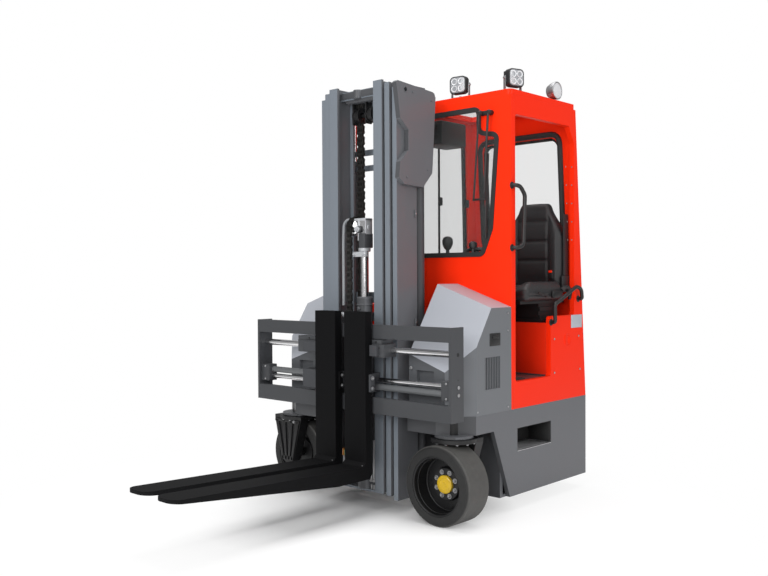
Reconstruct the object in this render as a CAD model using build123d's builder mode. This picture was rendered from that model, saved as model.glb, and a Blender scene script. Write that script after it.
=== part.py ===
"""A multidirectional forklift: narrow side cab, three-stage mast and wide fork positioner.

Millimetres. X is the width (+X is the operator's door side), the forks point to -Y and Z is up
from the floor. The origin lies on the floor in the middle of the truck. The wheels stand turned
for sideways travel, with the forks a little raised.
"""

from build123d import *
import math
import os

os.makedirs("parts", exist_ok=True)

# Body
body_half_width = 686
body_rear = 1287.5
ground_clearance = 80
deck_top = 540
deck_thickness = 15
plate_thickness = 25
cross_wall_front = 440
arm_bottom = 445
arm_front = 77.5
arm_inner = 336
arm_chamfer_x = 163
arm_chamfer_y = 120
nose_foot_setback = 57
nose_top_y = 347.5
nose_top_z = 454
step_y = (567.5, 903.5)
step_z = (312, 435)
step_depth = 150

# Wing housings beside the mast
wing_front = 92.5
wing_rear = 512
wing_ridge_y = 332.5
wing_ridge_inner_z = 1204
wing_ridge_outer_z = 1082
wing_face_slope = 1.5
wing_corner_x = 116
wing_corner_y = 110

# Cab
cab_width = 750
cab_left = body_half_width - cab_width
cab_front = 512.5
cab_roof_top = 2230
cab_rear_top = 1172.5
wall = 30
roof_thickness = 30
floor_top = 683
floor_thickness = 20
door_front = 552.5
door_low_rear = 902.5
door_high_rear = 1158
door_top = 2100
side_panel_top = 1018
plinth_top = 980
plinth_left = body_half_width - 496
glass_thickness = 6
rear_window_size = (540, 640)
rear_window_z = 1740
rear_window_corner = 60
seal_width = 26
seal_lap = 10
seal_proud = 6

# Seat
seat_x = body_half_width - 241
seat_width = 420
cushion_front = 700
cushion_rear = 1087.7
cushion_top = 1200
cushion_thickness = 95
back_front = 1088
back_thickness = 85
back_top = 1670

# Battery
hood_top = 1080
hood_wall = 20
battery_x = (46 - body_half_width, cab_left - 151)
battery_y = (540, 1225)
battery_top = 1000
battery_wall_x = (cab_left - 141, cab_left - 126)

# Front corner: kingpin, leg and wheel
kingpin_x = body_half_width - 110
kingpin_y = 160
wheel_offset = 61.5
tyre_radius = 202
tyre_width = 180
tyre_bore = 150
tyre_shoulder = 14
rim_wall = 9
hub_radius = 80
hub_cap_radius = 45
axle_radius = 25
fit = 0.05
leg_gap = 5
leg_thickness = 62
leg_top_half = 112
leg_foot_radius = 52
leg_plate_bottom = 410
leg_plate_top = 430
turntable_radius = 118
turntable_ring = 100
kingpin_radius = 40
kingpin_top = 520

# Rear drive wheel
drive_y = 960
drive_tyre_radius = 160
drive_tyre_width = 130
drive_bore = 112
drive_plate_top = 505
drive_plate_bottom = 485
drive_motor_radius = 95
drive_leg_thickness = 50

# Mast. Each stage: flange ends and web faces in x, front y, depth, and bottom and top z
flange = 16
stages = {
    "outer": dict(x0=247, x1=277, web0=269, web1=277, y0=70, depth=162, z0=70, z1=2235),
    "middle": dict(x0=204, x1=238, web0=227, web1=234, y0=58, depth=154, z0=90, z1=2262),
    "inner": dict(x0=133, x1=194, web0=156, web1=168, y0=48, depth=140, z0=95, z1=2280),
}
roller_play = 0.4
roller_width = 17
roller_axle = 20
mast_pivot_y = 300
mast_pivot_z = 130
mast_pivot_radius = 20
pivot_ear = (198, 223)
lift_x = 240
lift_y = 285
lift_tube_radius = 35
lift_rod_radius = 23
lift_tube_z = (165, 1900)
free_x = 45
free_y = 70
free_tube_radius = 42
free_rod_radius = 22
free_tube_z = (107, 1136)
free_head_z = (1480, 1545)
chain_x = -57
chain_width = 46
chain_y = 154
chain_thickness = 12
carriage_chain_x = -18
carriage_chain_width = 30
sheave_radius = 52
tilt_x = 168
tilt_foot_y = 480
tilt_foot_z = 640
tilt_eye_y = 275
tilt_eye_z = 900
tilt_tube_radius = 32
tilt_rod_radius = 16

# Carriage and forks
carriage_half = 715
carriage_front = -43.5
bar_thickness = 28
upper_bar = (926, 998)
lower_bar = (535, 620)
end_plate = 15
end_plate_rear = 56.5
roller_plate_x = (98, 125)
roller_plate_rear = 150
carriage_rollers_z = (640, 900)
guide_y = 12.5
guide_z = 865
guide_radius = 17.5
twin_rods = ((706, 14), (668, 17))
slide_play = 0.3
fork_front = -107.5
fork_thickness = 50
fork_width = 151
fork_length = 1180
fork_under = 200
blade_heel = 62
heel_inside = 20
blade_tip = 16
blade_rise = 45
shank_top = 1065
# Each fork: its name, centre, outer side, and the ranges in x of its sleeve and of its lower clamp
forks = (("right", 136.5, 1, (150, 262), (150, 178)), ("left", -82.5, -1, (-290, -150), (-290, -150)))
sleeve_radius = 29
rod_holder = 60


def write(part, name):
    """Labels a finished piece and writes it as its own file."""
    part.label = name
    export_step(part, f"parts/{name}.step")


def block(x, y, z, mode=Mode.ADD):
    """Adds a box between two corners, given as its ranges in x, y and z."""
    middle = [(a + b) / 2 for a, b in (x, y, z)]
    with Locations(tuple(middle)):
        Box(x[1] - x[0], y[1] - y[0], z[1] - z[0], mode=mode)


def rod_along_x(x, y, z, radius, mode=Mode.ADD):
    with Locations(Plane(origin=(x[0], y, z), x_dir=(0, 1, 0), z_dir=(1, 0, 0))):
        Cylinder(radius, x[1] - x[0], align=(Align.CENTER, Align.CENTER, Align.MIN), mode=mode)


def rod_along_z(x, y, z, radius, mode=Mode.ADD):
    with Locations((x, y, z[0])):
        Cylinder(radius, z[1] - z[0], align=(Align.CENTER, Align.CENTER, Align.MIN), mode=mode)


def rod_between(start, end, radius, mode=Mode.ADD):
    a, b = Vector(*start), Vector(*end)
    with Locations(Plane(origin=a, z_dir=(b - a))):
        Cylinder(radius, (b - a).length, align=(Align.CENTER, Align.CENTER, Align.MIN), mode=mode)


def rear_y(z):
    """The rear wall leans forward from the deck to the roof."""
    return body_rear + (cab_rear_top - body_rear) * (z - deck_top) / (cab_roof_top - deck_top)


# Chassis: side plates, cross wall, deck, floor and the two front arms
with BuildPart() as chassis:
    for sign in (1, -1):
        x0 = body_half_width - plate_thickness if sign > 0 else -body_half_width
        with BuildSketch(Plane.YZ.offset(x0)):
            Polygon(
                (cross_wall_front + nose_foot_setback, ground_clearance),
                (body_rear, ground_clearance),
                (body_rear, deck_top),
                (nose_top_y, deck_top),
                (nose_top_y, nose_top_z),
                align=None,
            )
        extrude(amount=plate_thickness)
    inside = body_half_width - plate_thickness
    block((-inside, inside), (cross_wall_front, cross_wall_front + plate_thickness), (ground_clearance, deck_top))
    block((-inside, inside), (body_rear - plate_thickness, body_rear), (ground_clearance, deck_top))
    block((-inside, inside), (cross_wall_front, body_rear), (ground_clearance, ground_clearance + deck_thickness))
    block((cab_left + 4, inside), (cross_wall_front, body_rear), (deck_top - deck_thickness, deck_top))
    rod_along_z(0, drive_y, (0, ground_clearance + 2 * deck_thickness), drive_tyre_radius + 50, Mode.SUBTRACT)
    # Wall of the battery's well, and the bridge over the drive unit
    block(battery_wall_x, (cross_wall_front, body_rear), (ground_clearance, deck_top))
    block((battery_wall_x[0], inside), (drive_y - 120, drive_y + 120), (deck_top - deck_thickness, deck_top))
    # Step box let into the operator's side
    block((inside - step_depth, body_half_width), (step_y[0] - 10, step_y[1] + 10), (step_z[0] - 10, step_z[1] + 10))
    block((inside - step_depth + 10, body_half_width), step_y, step_z, Mode.SUBTRACT)
    for sign in (1, -1):
        with BuildSketch(Plane.XY.offset(arm_bottom)):
            Polygon(
                (sign * arm_inner, cross_wall_front),
                (sign * arm_inner, arm_front),
                (sign * (body_half_width - arm_chamfer_x), arm_front),
                (sign * body_half_width, arm_front + arm_chamfer_y),
                (sign * body_half_width, cross_wall_front),
                align=None,
            )
        extrude(amount=deck_top - arm_bottom)
        rod_along_z(sign * kingpin_x, kingpin_y, (leg_plate_top + 2, arm_bottom), turntable_ring)
        rod_along_z(
            sign * kingpin_x, kingpin_y, (leg_plate_top, kingpin_top + 1), kingpin_radius + fit, Mode.SUBTRACT
        )
        # Lugs for the foot of the mast, with the pin that it tilts on
        lug = sorted((sign * (pivot_ear[0] - 28), sign * (pivot_ear[0] - 3)))
        block(lug, (mast_pivot_y - 35, cross_wall_front), (ground_clearance + 10, mast_pivot_z + 45))
        pin = sorted((sign * (pivot_ear[0] - 3), sign * (pivot_ear[1] + 3)))
        rod_along_x(pin, mast_pivot_y, mast_pivot_z, mast_pivot_radius)
        # Brackets for the tilt cylinders' feet
        for ear in (-30, 20):
            x0 = sign * tilt_x + ear
            block((x0, x0 + 10), (tilt_foot_y - 20, cab_front), (deck_top - 40, tilt_foot_z + 20))
        rod_along_x((sign * tilt_x - 30, sign * tilt_x + 30), tilt_foot_y, tilt_foot_z, 12)
        block((sign * tilt_x - 30, sign * tilt_x + 30), (cross_wall_front, cab_front), (deck_top - 40, deck_top))
write(chassis.part, "chassis")

# Wing housings: a footprint cut by the sloping top and the steep front face
with BuildPart() as wing:
    with BuildSketch(Plane.XY.offset(deck_top)):
        Polygon(
            (arm_inner, wing_front),
            (body_half_width - wing_corner_x, wing_front),
            (body_half_width, wing_front + wing_corner_y),
            (body_half_width, wing_rear),
            (arm_inner, wing_rear),
            align=None,
        )
    extrude(amount=wing_ridge_inner_z - deck_top)
    ridge_in = Vector(arm_inner, wing_ridge_y, wing_ridge_inner_z)
    ridge_out = Vector(body_half_width, wing_ridge_y, wing_ridge_outer_z)
    along = ridge_out - ridge_in
    top_normal = along.cross(Vector(0, -1, 0))
    face_normal = along.cross(Vector(0, -1, -wing_face_slope))
    for normal in (top_normal, face_normal):
        up = normal if normal.Z > 0 else normal * -1
        split(bisect_by=Plane(origin=ridge_in, z_dir=up), keep=Keep.BOTTOM)
    # Recess in the front with its grille bars, and the grille in the side
    recess_x = (body_half_width - 300, body_half_width - 185)
    block(recess_x, (wing_front, wing_front + 25), (685, 763), Mode.SUBTRACT)
    block((body_half_width - 20, body_half_width), (275, 408), (665, 830), Mode.SUBTRACT)
    for i in range(9):
        y = 282 + i * 14.6
        block((body_half_width - 16, body_half_width - 3), (y, y + 6), (665, 830))
write(wing.part, "wing_right")
write(wing.part.mirror(Plane.YZ), "wing_left")

# Battery hood on the left with the battery in it
with BuildPart() as hood:
    with BuildSketch(Plane.YZ.offset(-body_half_width)):
        Polygon(
            (cab_front, deck_top), (body_rear, deck_top), (rear_y(hood_top), hood_top), (cab_front, hood_top), align=None
        )
    extrude(amount=cab_left - fit + body_half_width)
    block(
        (-body_half_width + hood_wall, cab_left - hood_wall),
        (cab_front + hood_wall, rear_y(hood_top) - hood_wall),
        (deck_top, hood_top - hood_wall),
        Mode.SUBTRACT,
    )
write(hood.part, "battery_hood")

with BuildPart() as battery:
    block(battery_x, battery_y, (ground_clearance + deck_thickness, battery_top))
write(battery.part, "battery")

# Cab: front, two sides, rear, roof and floor, each as thick as its wall
side_top = cab_roof_top - roof_thickness


def outline_face(points, radius):
    """A flat face with rounded corners, in the sketch's own axes."""
    with BuildSketch() as face:
        with BuildLine():
            FilletPolyline(*points, radius=radius, close=True)
        make_face()
    return face.sketch


window_left = cab_left + 74
front_window_points = (
    # (distance in from the door side, z)
    (181, 1360), (123, 1500), (82, 2000), (200, 2020), (200, 2150),
)
front_window = outline_face(
    [(window_left, 1360)] + [(body_half_width - x, z) for x, z in front_window_points] + [(window_left, 2150)], 35
)
with BuildPart() as cab_front_panel:
    block((cab_left, body_half_width), (cab_front, cab_front + wall), (deck_top, side_top))
    with BuildSketch(Plane.XZ.offset(-cab_front)):
        add(front_window)
    extrude(amount=-wall, mode=Mode.SUBTRACT)
write(cab_front_panel.part, "cab_front")

side_outline = (
    (cab_front + wall, deck_top),
    (body_rear, deck_top),
    (rear_y(side_top), side_top),
    (cab_front + wall, side_top),
)
door_opening = outline_face(
    (
        (door_front, floor_top),
        (door_low_rear, floor_top),
        (door_low_rear, side_panel_top),
        (door_high_rear, side_panel_top),
        (door_high_rear, door_top - 90),
        (door_high_rear - 60, door_top),
        (door_front, door_top),
    ),
    18,
)
with BuildPart() as cab_right:
    with BuildSketch(Plane.YZ.offset(body_half_width)):
        Polygon(*side_outline, align=None)
        add(door_opening, mode=Mode.SUBTRACT)
    extrude(amount=-wall)
write(cab_right.part, "cab_door_side")

# The left wall is drawn from outside, so its plane's x runs forward
left_plane = Plane(origin=(cab_left, 0, 0), x_dir=(0, -1, 0), z_dir=(-1, 0, 0))
left_window = outline_face(((-565, 1360), (-1120, 1360), (-1100, 2090), (-565, 2090)), 40)
with BuildPart() as cab_left_wall:
    with BuildSketch(left_plane):
        Polygon(*[(-y, z) for y, z in side_outline], align=None)
        add(left_window, mode=Mode.SUBTRACT)
    extrude(amount=-wall)
write(cab_left_wall.part, "cab_left_side")

rear_lean = math.degrees(math.atan2(body_rear - cab_rear_top, cab_roof_top - deck_top))
rear_plane = Plane(
    origin=((cab_left + body_half_width) / 2, rear_y(deck_top), deck_top),
    x_dir=(-1, 0, 0),
    z_dir=(0, math.cos(math.radians(rear_lean)), math.sin(math.radians(rear_lean))),
)
cab_inside = (cab_left + wall, body_half_width - wall)
with BuildSketch() as rear_pane:
    with Locations((0, rear_window_z - deck_top)):
        RectangleRounded(*rear_window_size, rear_window_corner)
rear_window = rear_pane.sketch
with BuildPart() as cab_rear:
    with BuildSketch(Plane.YZ.offset(cab_inside[0])):
        Polygon(
            (body_rear - wall, deck_top),
            (body_rear, deck_top),
            (rear_y(side_top), side_top),
            (rear_y(side_top) - wall, side_top),
            align=None,
        )
    extrude(amount=cab_inside[1] - cab_inside[0])
    with BuildSketch(rear_plane):
        add(rear_window)
    extrude(amount=-2 * wall, mode=Mode.SUBTRACT)
write(cab_rear.part, "cab_rear")

skylight = ((cab_left + 84, body_half_width - 86), (600, 1080))
with BuildPart() as roof:
    block((cab_left, body_half_width), (cab_front, cab_rear_top), (side_top, cab_roof_top))
    fillet(roof.edges().filter_by(Axis.Z), 25)
    block(skylight[0], skylight[1], (side_top, cab_roof_top), Mode.SUBTRACT)
write(roof.part, "cab_roof")

with BuildPart() as floor:
    block(cab_inside, (cab_front + wall, rear_y(floor_top) - wall), (floor_top - floor_thickness, floor_top))
    block((plinth_left, cab_inside[1]), (door_low_rear, rear_y(plinth_top) - wall), (floor_top, plinth_top))
write(floor.part, "cab_floor")

# Window glass in the middle of its wall, and the rubber frames that hold it
window_mid = (wall - glass_thickness) / 2
panes = (
    (Plane.XZ.offset(-cab_front), front_window),
    (left_plane, left_window),
    (rear_plane, rear_window),
)
with BuildPart() as glass:
    for outside, pane in panes:
        with BuildSketch(outside.offset(-window_mid)):
            add(pane)
        extrude(amount=-glass_thickness)
    block(skylight[0], skylight[1], (side_top + 10, side_top + 10 + glass_thickness))
write(glass.part, "cab_glass")

with BuildPart() as seals:
    for outside, pane in panes:
        with BuildSketch(outside):
            offset(pane, amount=seal_lap)
            offset(pane, amount=seal_lap - seal_width, mode=Mode.SUBTRACT)
        extrude(amount=seal_proud)
        with BuildSketch(outside):
            add(pane)
            offset(pane, amount=seal_lap - seal_width, mode=Mode.SUBTRACT)
        extrude(amount=-window_mid)
write(seals.part, "window_seals")

# Seat
with BuildPart() as cushion:
    block(
        (seat_x - seat_width / 2, seat_x + seat_width / 2),
        (cushion_front, cushion_rear),
        (cushion_top - cushion_thickness, cushion_top),
    )
    fillet(cushion.edges().filter_by(Axis.Z), 50)
    fillet(cushion.faces().sort_by(Axis.Z)[-1].edges(), 30)
write(cushion.part, "seat_cushion")

with BuildPart() as backrest:
    with BuildSketch(Plane.XZ.offset(-back_front)):
        with BuildLine():
            FilletPolyline(
                (seat_x - 200, cushion_top - 60),
                (seat_x + 200, cushion_top - 60),
                (seat_x + 190, 1540),
                (seat_x + 130, back_top),
                (seat_x - 130, back_top),
                (seat_x - 190, 1540),
                radius=40,
                close=True,
            )
        make_face()
    extrude(amount=-back_thickness)
    fillet(backrest.faces().sort_by(Axis.Y)[0].edges(), 25)
write(backrest.part, "seat_back")

with BuildPart() as seat_base:
    seat_floor = cushion_top - cushion_thickness
    block((seat_x - 170, seat_x + 170), (cushion_front + 220, cushion_rear + 40), (plinth_top, plinth_top + 20))
    for i in range(4):
        z = plinth_top + 20 + i * 22
        block(
            (seat_x - 150 + 8 * (i % 2), seat_x + 150 - 8 * (i % 2)),
            (cushion_front + 235, cushion_rear + 20),
            (z, z + 22),
        )
    block((seat_x - 160, seat_x + 160), (cushion_front + 20, cushion_rear + 95), (plinth_top + 108, seat_floor))
write(seat_base.part, "seat_base")

# Console with its lever
console_x = (cab_left + 124, cab_left + 394)
console_top = 1340
lever_x = cab_left + 254
lever_y = 610
with BuildPart() as console:
    block(console_x, (cab_front + wall, 660), (floor_top, console_top))
    rod_along_z(lever_x, lever_y, (console_top, console_top + 80), 10)
    with Locations((lever_x, lever_y, console_top + 95)):
        Sphere(26)
write(console.part, "console")

# Grab rails beside the door
rail_radius = 11
rail_x = body_half_width + 27
upper_rail = (
    (body_half_width, 530, 1718), (rail_x, 530, 1718), (rail_x, 668, 1700),
    (rail_x, 668, 1416), (rail_x, 530, 1398), (body_half_width, 530, 1398),
)
lower_rail = (
    (body_half_width, 935, 990), (rail_x, 935, 990), (rail_x, 955, 1095),
    (rail_x, 1185, 1095), (rail_x, 1195, 990), (body_half_width, 1195, 990),
)
with BuildPart() as rails:
    for route in (upper_rail, lower_rail):
        with BuildLine() as line:
            FilletPolyline(*route, radius=18)
        with BuildSketch(Plane(origin=line.line @ 0, z_dir=line.line % 0)):
            Circle(rail_radius)
        sweep()
write(rails.part, "grab_rails")

# Work lamps on the roof
square_lamps = (
    # distance in from the door side, y, turn
    (361, 560, 0), (56, 610, 90),
)
round_lamp = (body_half_width - 50, 1010)
with BuildPart() as lamp_set:
    for inset, y, turn in square_lamps:
        x = body_half_width - inset
        with Locations(Location((x, y, cab_roof_top), (0, 0, turn))):
            with Locations((0, 0, 12)):
                Box(50, 40, 24)
            with Locations((0, -10, 70)):
                Box(100, 55, 95)
    with Locations((*round_lamp, cab_roof_top + 12)):
        Box(50, 40, 24)
    with Locations(Location((*round_lamp, cab_roof_top + 62), (0, 90, 0))):
        Cylinder(50, 60)
write(lamp_set.part, "work_lamps")

with BuildPart() as wiper:
    wiper_x = body_half_width - 136
    block((wiper_x - 10, wiper_x + 10), (cab_front - 40, cab_front), (2060, 2080))
    block((wiper_x - 5, wiper_x + 5), (cab_front - 40, cab_front - 30), (1430, 2080))
write(wiper.part, "wiper")


# Mast: nested rails with a channel for the next stage's rollers
def rails_of(stage):
    """A pair of channel or I rails, as one sketch extruded to the stage's height."""
    s = stages[stage]
    for sign in (1, -1):
        xs = sorted((sign * s["x0"], sign * s["x1"]))
        web = sorted((sign * s["web0"], sign * s["web1"]))
        y1 = s["y0"] + s["depth"]
        block(xs, (s["y0"], s["y0"] + flange), (s["z0"], s["z1"]))
        block(xs, (y1 - flange, y1), (s["z0"], s["z1"]))
        block(web, (s["y0"], y1), (s["z0"], s["z1"]))


def channel_middle(stage):
    s = stages[stage]
    return s["y0"] + s["depth"] / 2


def roller_radius(stage):
    return stages[stage]["depth"] / 2 - flange - roller_play


def rollers_in(outer_stage, web_x, height_list):
    """Rollers that run in the outer stage's channel, on axles from the given web."""
    far = stages[outer_stage]["web0"] - 2
    for sign in (1, -1):
        for z in height_list:
            y = channel_middle(outer_stage)
            rod_along_x(sorted((sign * web_x, sign * far)), y, z, roller_axle)
            rod_along_x(sorted((sign * (far - roller_width), sign * far)), y, z, roller_radius(outer_stage))


outer, middle, inner = (stages[name] for name in ("outer", "middle", "inner"))
outer_rear = outer["y0"] + outer["depth"]
middle_rear = middle["y0"] + middle["depth"]
inner_rear = inner["y0"] + inner["depth"]
cross_depth = 12
with BuildPart() as mast_outer:
    rails_of("outer")
    for z in ((70, 150), (870, 930), (1837, 1869), (1924, 1956), (2160, 2225)):
        block((-outer["x1"], outer["x1"]), (outer_rear, outer_rear + cross_depth), z)
    for sign in (1, -1):
        ear = sorted((sign * pivot_ear[0], sign * pivot_ear[1]))
        block(ear, (outer_rear, mast_pivot_y + 30), (90, mast_pivot_z + 35))
        rod_along_x(ear, mast_pivot_y, mast_pivot_z, mast_pivot_radius + fit, Mode.SUBTRACT)
        # Foot and clamp of the lift cylinder
        holder = sorted((sign * (lift_x - lift_tube_radius - 1), sign * (lift_x + lift_tube_radius + 1)))
        foot_x = sorted((sign * (pivot_ear[1] + 7), sign * (lift_x + lift_tube_radius + 1)))
        block(foot_x, (outer_rear, lift_y + 35), (lift_tube_z[0] - 20, lift_tube_z[0]))
        block(holder, (outer_rear, lift_y), (1837, 1869))
        rod_along_z(sign * lift_x, lift_y, (lift_tube_z[0], 1956), lift_tube_radius, Mode.SUBTRACT)
        # Clevis for the tilt cylinder's rod
        for ear_x in (-32, 22):
            x0 = sign * tilt_x + ear_x
            block((x0, x0 + 10), (outer_rear, tilt_eye_y + 18), (tilt_eye_z - 25, tilt_eye_z + 25))
        rod_along_x((sign * tilt_x - 32, sign * tilt_x + 32), tilt_eye_y, tilt_eye_z, 11)
write(mast_outer.part, "mast_outer")

with BuildPart() as mast_middle:
    rails_of("middle")
    for z in ((110, 180), (1100, 1160), (2160, 2243)):
        block((-middle["x0"], middle["x0"]), (middle_rear - flange, middle_rear), z)
    head_x = lift_x + lift_rod_radius + 2
    block((-head_x, head_x), (middle_rear - 18, lift_y + 35), (2243, middle["z1"]))
    rollers_in("outer", middle["web1"], (190, 420))
write(mast_middle.part, "mast_middle")

with BuildPart() as mast_inner:
    rails_of("inner")
    for z in ((120, 200), (1000, 1050), (2140, 2200)):
        block((-inner["x0"], inner["x0"]), (inner_rear - flange, inner_rear), z)
    block((-inner["web0"], inner["web0"]), (100, 150), (2215, 2262))
    block((-inner["x0"], inner["x0"]), (inner["y0"], inner_rear), (inner["z0"], free_tube_z[0]))
    rollers_in("middle", inner["web1"], (210, 440))
write(mast_inner.part, "mast_inner")

with BuildPart() as lift_cylinders:
    for sign in (1, -1):
        rod_along_z(sign * lift_x, lift_y, lift_tube_z, lift_tube_radius)
        rod_along_z(sign * lift_x, lift_y, (lift_tube_z[0] + 12, lift_tube_z[1]), lift_rod_radius + fit, Mode.SUBTRACT)
write(lift_cylinders.part, "lift_cylinders")

with BuildPart() as lift_rods:
    for sign in (1, -1):
        rod_along_z(sign * lift_x, lift_y, (lift_tube_z[0] + 20, 2243), lift_rod_radius)
write(lift_rods.part, "lift_rods")

with BuildPart() as free_cylinder:
    rod_along_z(free_x, free_y, free_tube_z, free_tube_radius)
    rod_along_z(free_x, free_y, (free_tube_z[0] + 20, free_tube_z[1]), free_rod_radius + fit, Mode.SUBTRACT)
write(free_cylinder.part, "free_lift_cylinder")

with BuildPart() as free_rod:
    rod_along_z(free_x, free_y, (320, free_head_z[0]), free_rod_radius)
    block((carriage_chain_x + 20, free_x + 30), (free_y - 28, free_y + 28), free_head_z)
    rod_along_x((carriage_chain_x - 16, carriage_chain_x + 20), free_y, 1512, sheave_radius - chain_thickness / 2)
write(free_rod.part, "free_lift_rod")

with BuildPart() as mast_chain:
    block(
        (chain_x - chain_width / 2, chain_x + chain_width / 2),
        (chain_y - chain_thickness / 2, chain_y + chain_thickness / 2),
        (free_tube_z[0], 2215),
    )
write(mast_chain.part, "mast_chain")

with BuildPart() as carriage_chain:
    for y in (free_y - sheave_radius, free_y + sheave_radius):
        block(
            (carriage_chain_x - carriage_chain_width / 2, carriage_chain_x + carriage_chain_width / 2),
            (y - chain_thickness / 2, y + chain_thickness / 2),
            (640, 1512),
        )
    with BuildSketch(Plane.YZ.offset(carriage_chain_x - carriage_chain_width / 2)):
        with Locations((free_y, 1512)):
            Circle(sheave_radius + chain_thickness / 2)
            Circle(sheave_radius - chain_thickness / 2, mode=Mode.SUBTRACT)
        with Locations((free_y, 1412)):
            Rectangle(200, 200, mode=Mode.SUBTRACT)
    extrude(amount=carriage_chain_width)
write(carriage_chain.part, "carriage_chain")

cover_hole_y = 111
cover_hole_z = 2221
with BuildPart() as mast_cover:
    with BuildSketch(Plane.YZ.offset(outer["x1"])):
        Polygon(
            (39, 2250), (50, 2259), (335, 2238), (350, 2232), (361, 2210), (331, 1802), (252, 1720), (100, 1728),
            (57, 1760), (67, 1843), (132, 1905), (133, 2014), (68, 2068), align=None
        )
        with Locations((cover_hole_y, cover_hole_z)):
            Circle(12, mode=Mode.SUBTRACT)
    extrude(amount=28)
write(mast_cover.part, "mast_cover")

tilt_foot = Vector(0, tilt_foot_y, tilt_foot_z)
tilt_eye = Vector(0, tilt_eye_y, tilt_eye_z)
tilt_way = (tilt_eye - tilt_foot).normalized()
with BuildPart() as tilt_cylinders:
    for sign in (1, -1):
        foot = Vector(sign * tilt_x, 0, 0) + tilt_foot
        rod_between(foot + tilt_way * 50, foot + tilt_way * 225, tilt_tube_radius)
        rod_between(foot, foot + tilt_way * 55, 17)
        rod_along_x((foot.X - 17, foot.X + 17), foot.Y, foot.Z, 26)
        rod_along_x((foot.X - 17, foot.X + 17), foot.Y, foot.Z, 12 + fit, Mode.SUBTRACT)
        rod_between(foot + tilt_way * 60, foot + tilt_way * 225, tilt_rod_radius + fit, Mode.SUBTRACT)
write(tilt_cylinders.part, "tilt_cylinders")

with BuildPart() as tilt_rods:
    for sign in (1, -1):
        foot = Vector(sign * tilt_x, 0, 0) + tilt_foot
        eye = Vector(sign * tilt_x, 0, 0) + tilt_eye
        rod_between(foot + tilt_way * 110, eye - tilt_way * 16, tilt_rod_radius)
        rod_along_x((eye.X - 11, eye.X + 11), eye.Y, eye.Z, 24)
        rod_along_x((eye.X - 11, eye.X + 11), eye.Y, eye.Z, 14, Mode.SUBTRACT)
write(tilt_rods.part, "tilt_rods")

# Carriage: two bars between end plates, with roller plates that reach into the inner rails
bar_rear = carriage_front + bar_thickness
holder_inner = carriage_half - end_plate - rod_holder
with BuildPart() as carriage:
    for z in (upper_bar, lower_bar):
        block((-carriage_half, carriage_half), (carriage_front, bar_rear), z)
    for sign in (1, -1):
        end = sorted((sign * (carriage_half - end_plate), sign * carriage_half))
        block(end, (carriage_front, end_plate_rear), (lower_bar[0], upper_bar[1]))
        plate = sorted((sign * roller_plate_x[0], sign * roller_plate_x[1]))
        block(plate, (carriage_front, roller_plate_rear), (570, 985))
        # Outer blocks that hold the twin rods
        hold = sorted((sign * holder_inner, sign * (carriage_half - end_plate)))
        block(hold, (bar_rear - 8, guide_y + 25), (640, 735))
    rollers_in("inner", roller_plate_x[0], carriage_rollers_z)
write(carriage.part, "carriage")

with BuildPart() as guide_rods:
    for sign in (1, -1):
        ends = sorted((sign * roller_plate_x[1], sign * (carriage_half - end_plate)))
        rod_along_x(ends, guide_y, guide_z, guide_radius)
        order = twin_rods if sign > 0 else ((twin_rods[0][0], twin_rods[1][1]), (twin_rods[1][0], twin_rods[0][1]))
        for z, radius in order:
            rod_along_x(sorted((sign * roller_plate_x[1], sign * holder_inner)), guide_y, z, radius)
write(guide_rods.part, "guide_rods")

# Forks, each with its sleeve on the guide rod and its clamp on the twin rods
shank_rear = fork_front + fork_thickness
blade_top = fork_under + blade_heel + 5
blade_slope = blade_rise / fork_length
for name, centre, sign, sleeve, clamp in forks:
    with BuildPart() as fork:
        with BuildSketch(Plane.YZ.offset(centre - fork_width / 2)):
            with BuildLine():
                tip_y = fork_front - fork_length
                Polyline(
                    (shank_rear, shank_top),
                    (fork_front, shank_top),
                    (fork_front, blade_top + heel_inside),
                    (fork_front - heel_inside, blade_top + heel_inside * blade_slope),
                    (tip_y, blade_top + fork_length * blade_slope),
                    (tip_y, blade_top + fork_length * blade_slope - blade_tip),
                    (fork_front - 200, fork_under),
                    (shank_rear - 25, fork_under),
                    (shank_rear, fork_under + 25),
                    close=True,
                )
            make_face()
        extrude(amount=fork_width)
        fillet(fork.edges().filter_by(Axis.Z).sort_by(Axis.Y)[:2], 55)
        block(sleeve, (shank_rear - 20, shank_rear + 30), (guide_z - 28, guide_z + 28))
        block(sleeve, (shank_rear, guide_y), (guide_z - 28, guide_z + 28))
        rod_along_x(sleeve, guide_y, guide_z, sleeve_radius)
        block(clamp, (shank_rear - 20, guide_y + sleeve_radius), (640, 740))
        rod_along_x((sleeve[0] - 1, sleeve[1] + 1), guide_y, guide_z, guide_radius + slide_play, Mode.SUBTRACT)
        order = twin_rods if sign > 0 else ((twin_rods[0][0], twin_rods[1][1]), (twin_rods[1][0], twin_rods[0][1]))
        for z, radius in order:
            rod_along_x((clamp[0] - 1, clamp[1] + 1), guide_y, z, radius + slide_play, Mode.SUBTRACT)
    write(fork.part, f"fork_{name}")

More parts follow.
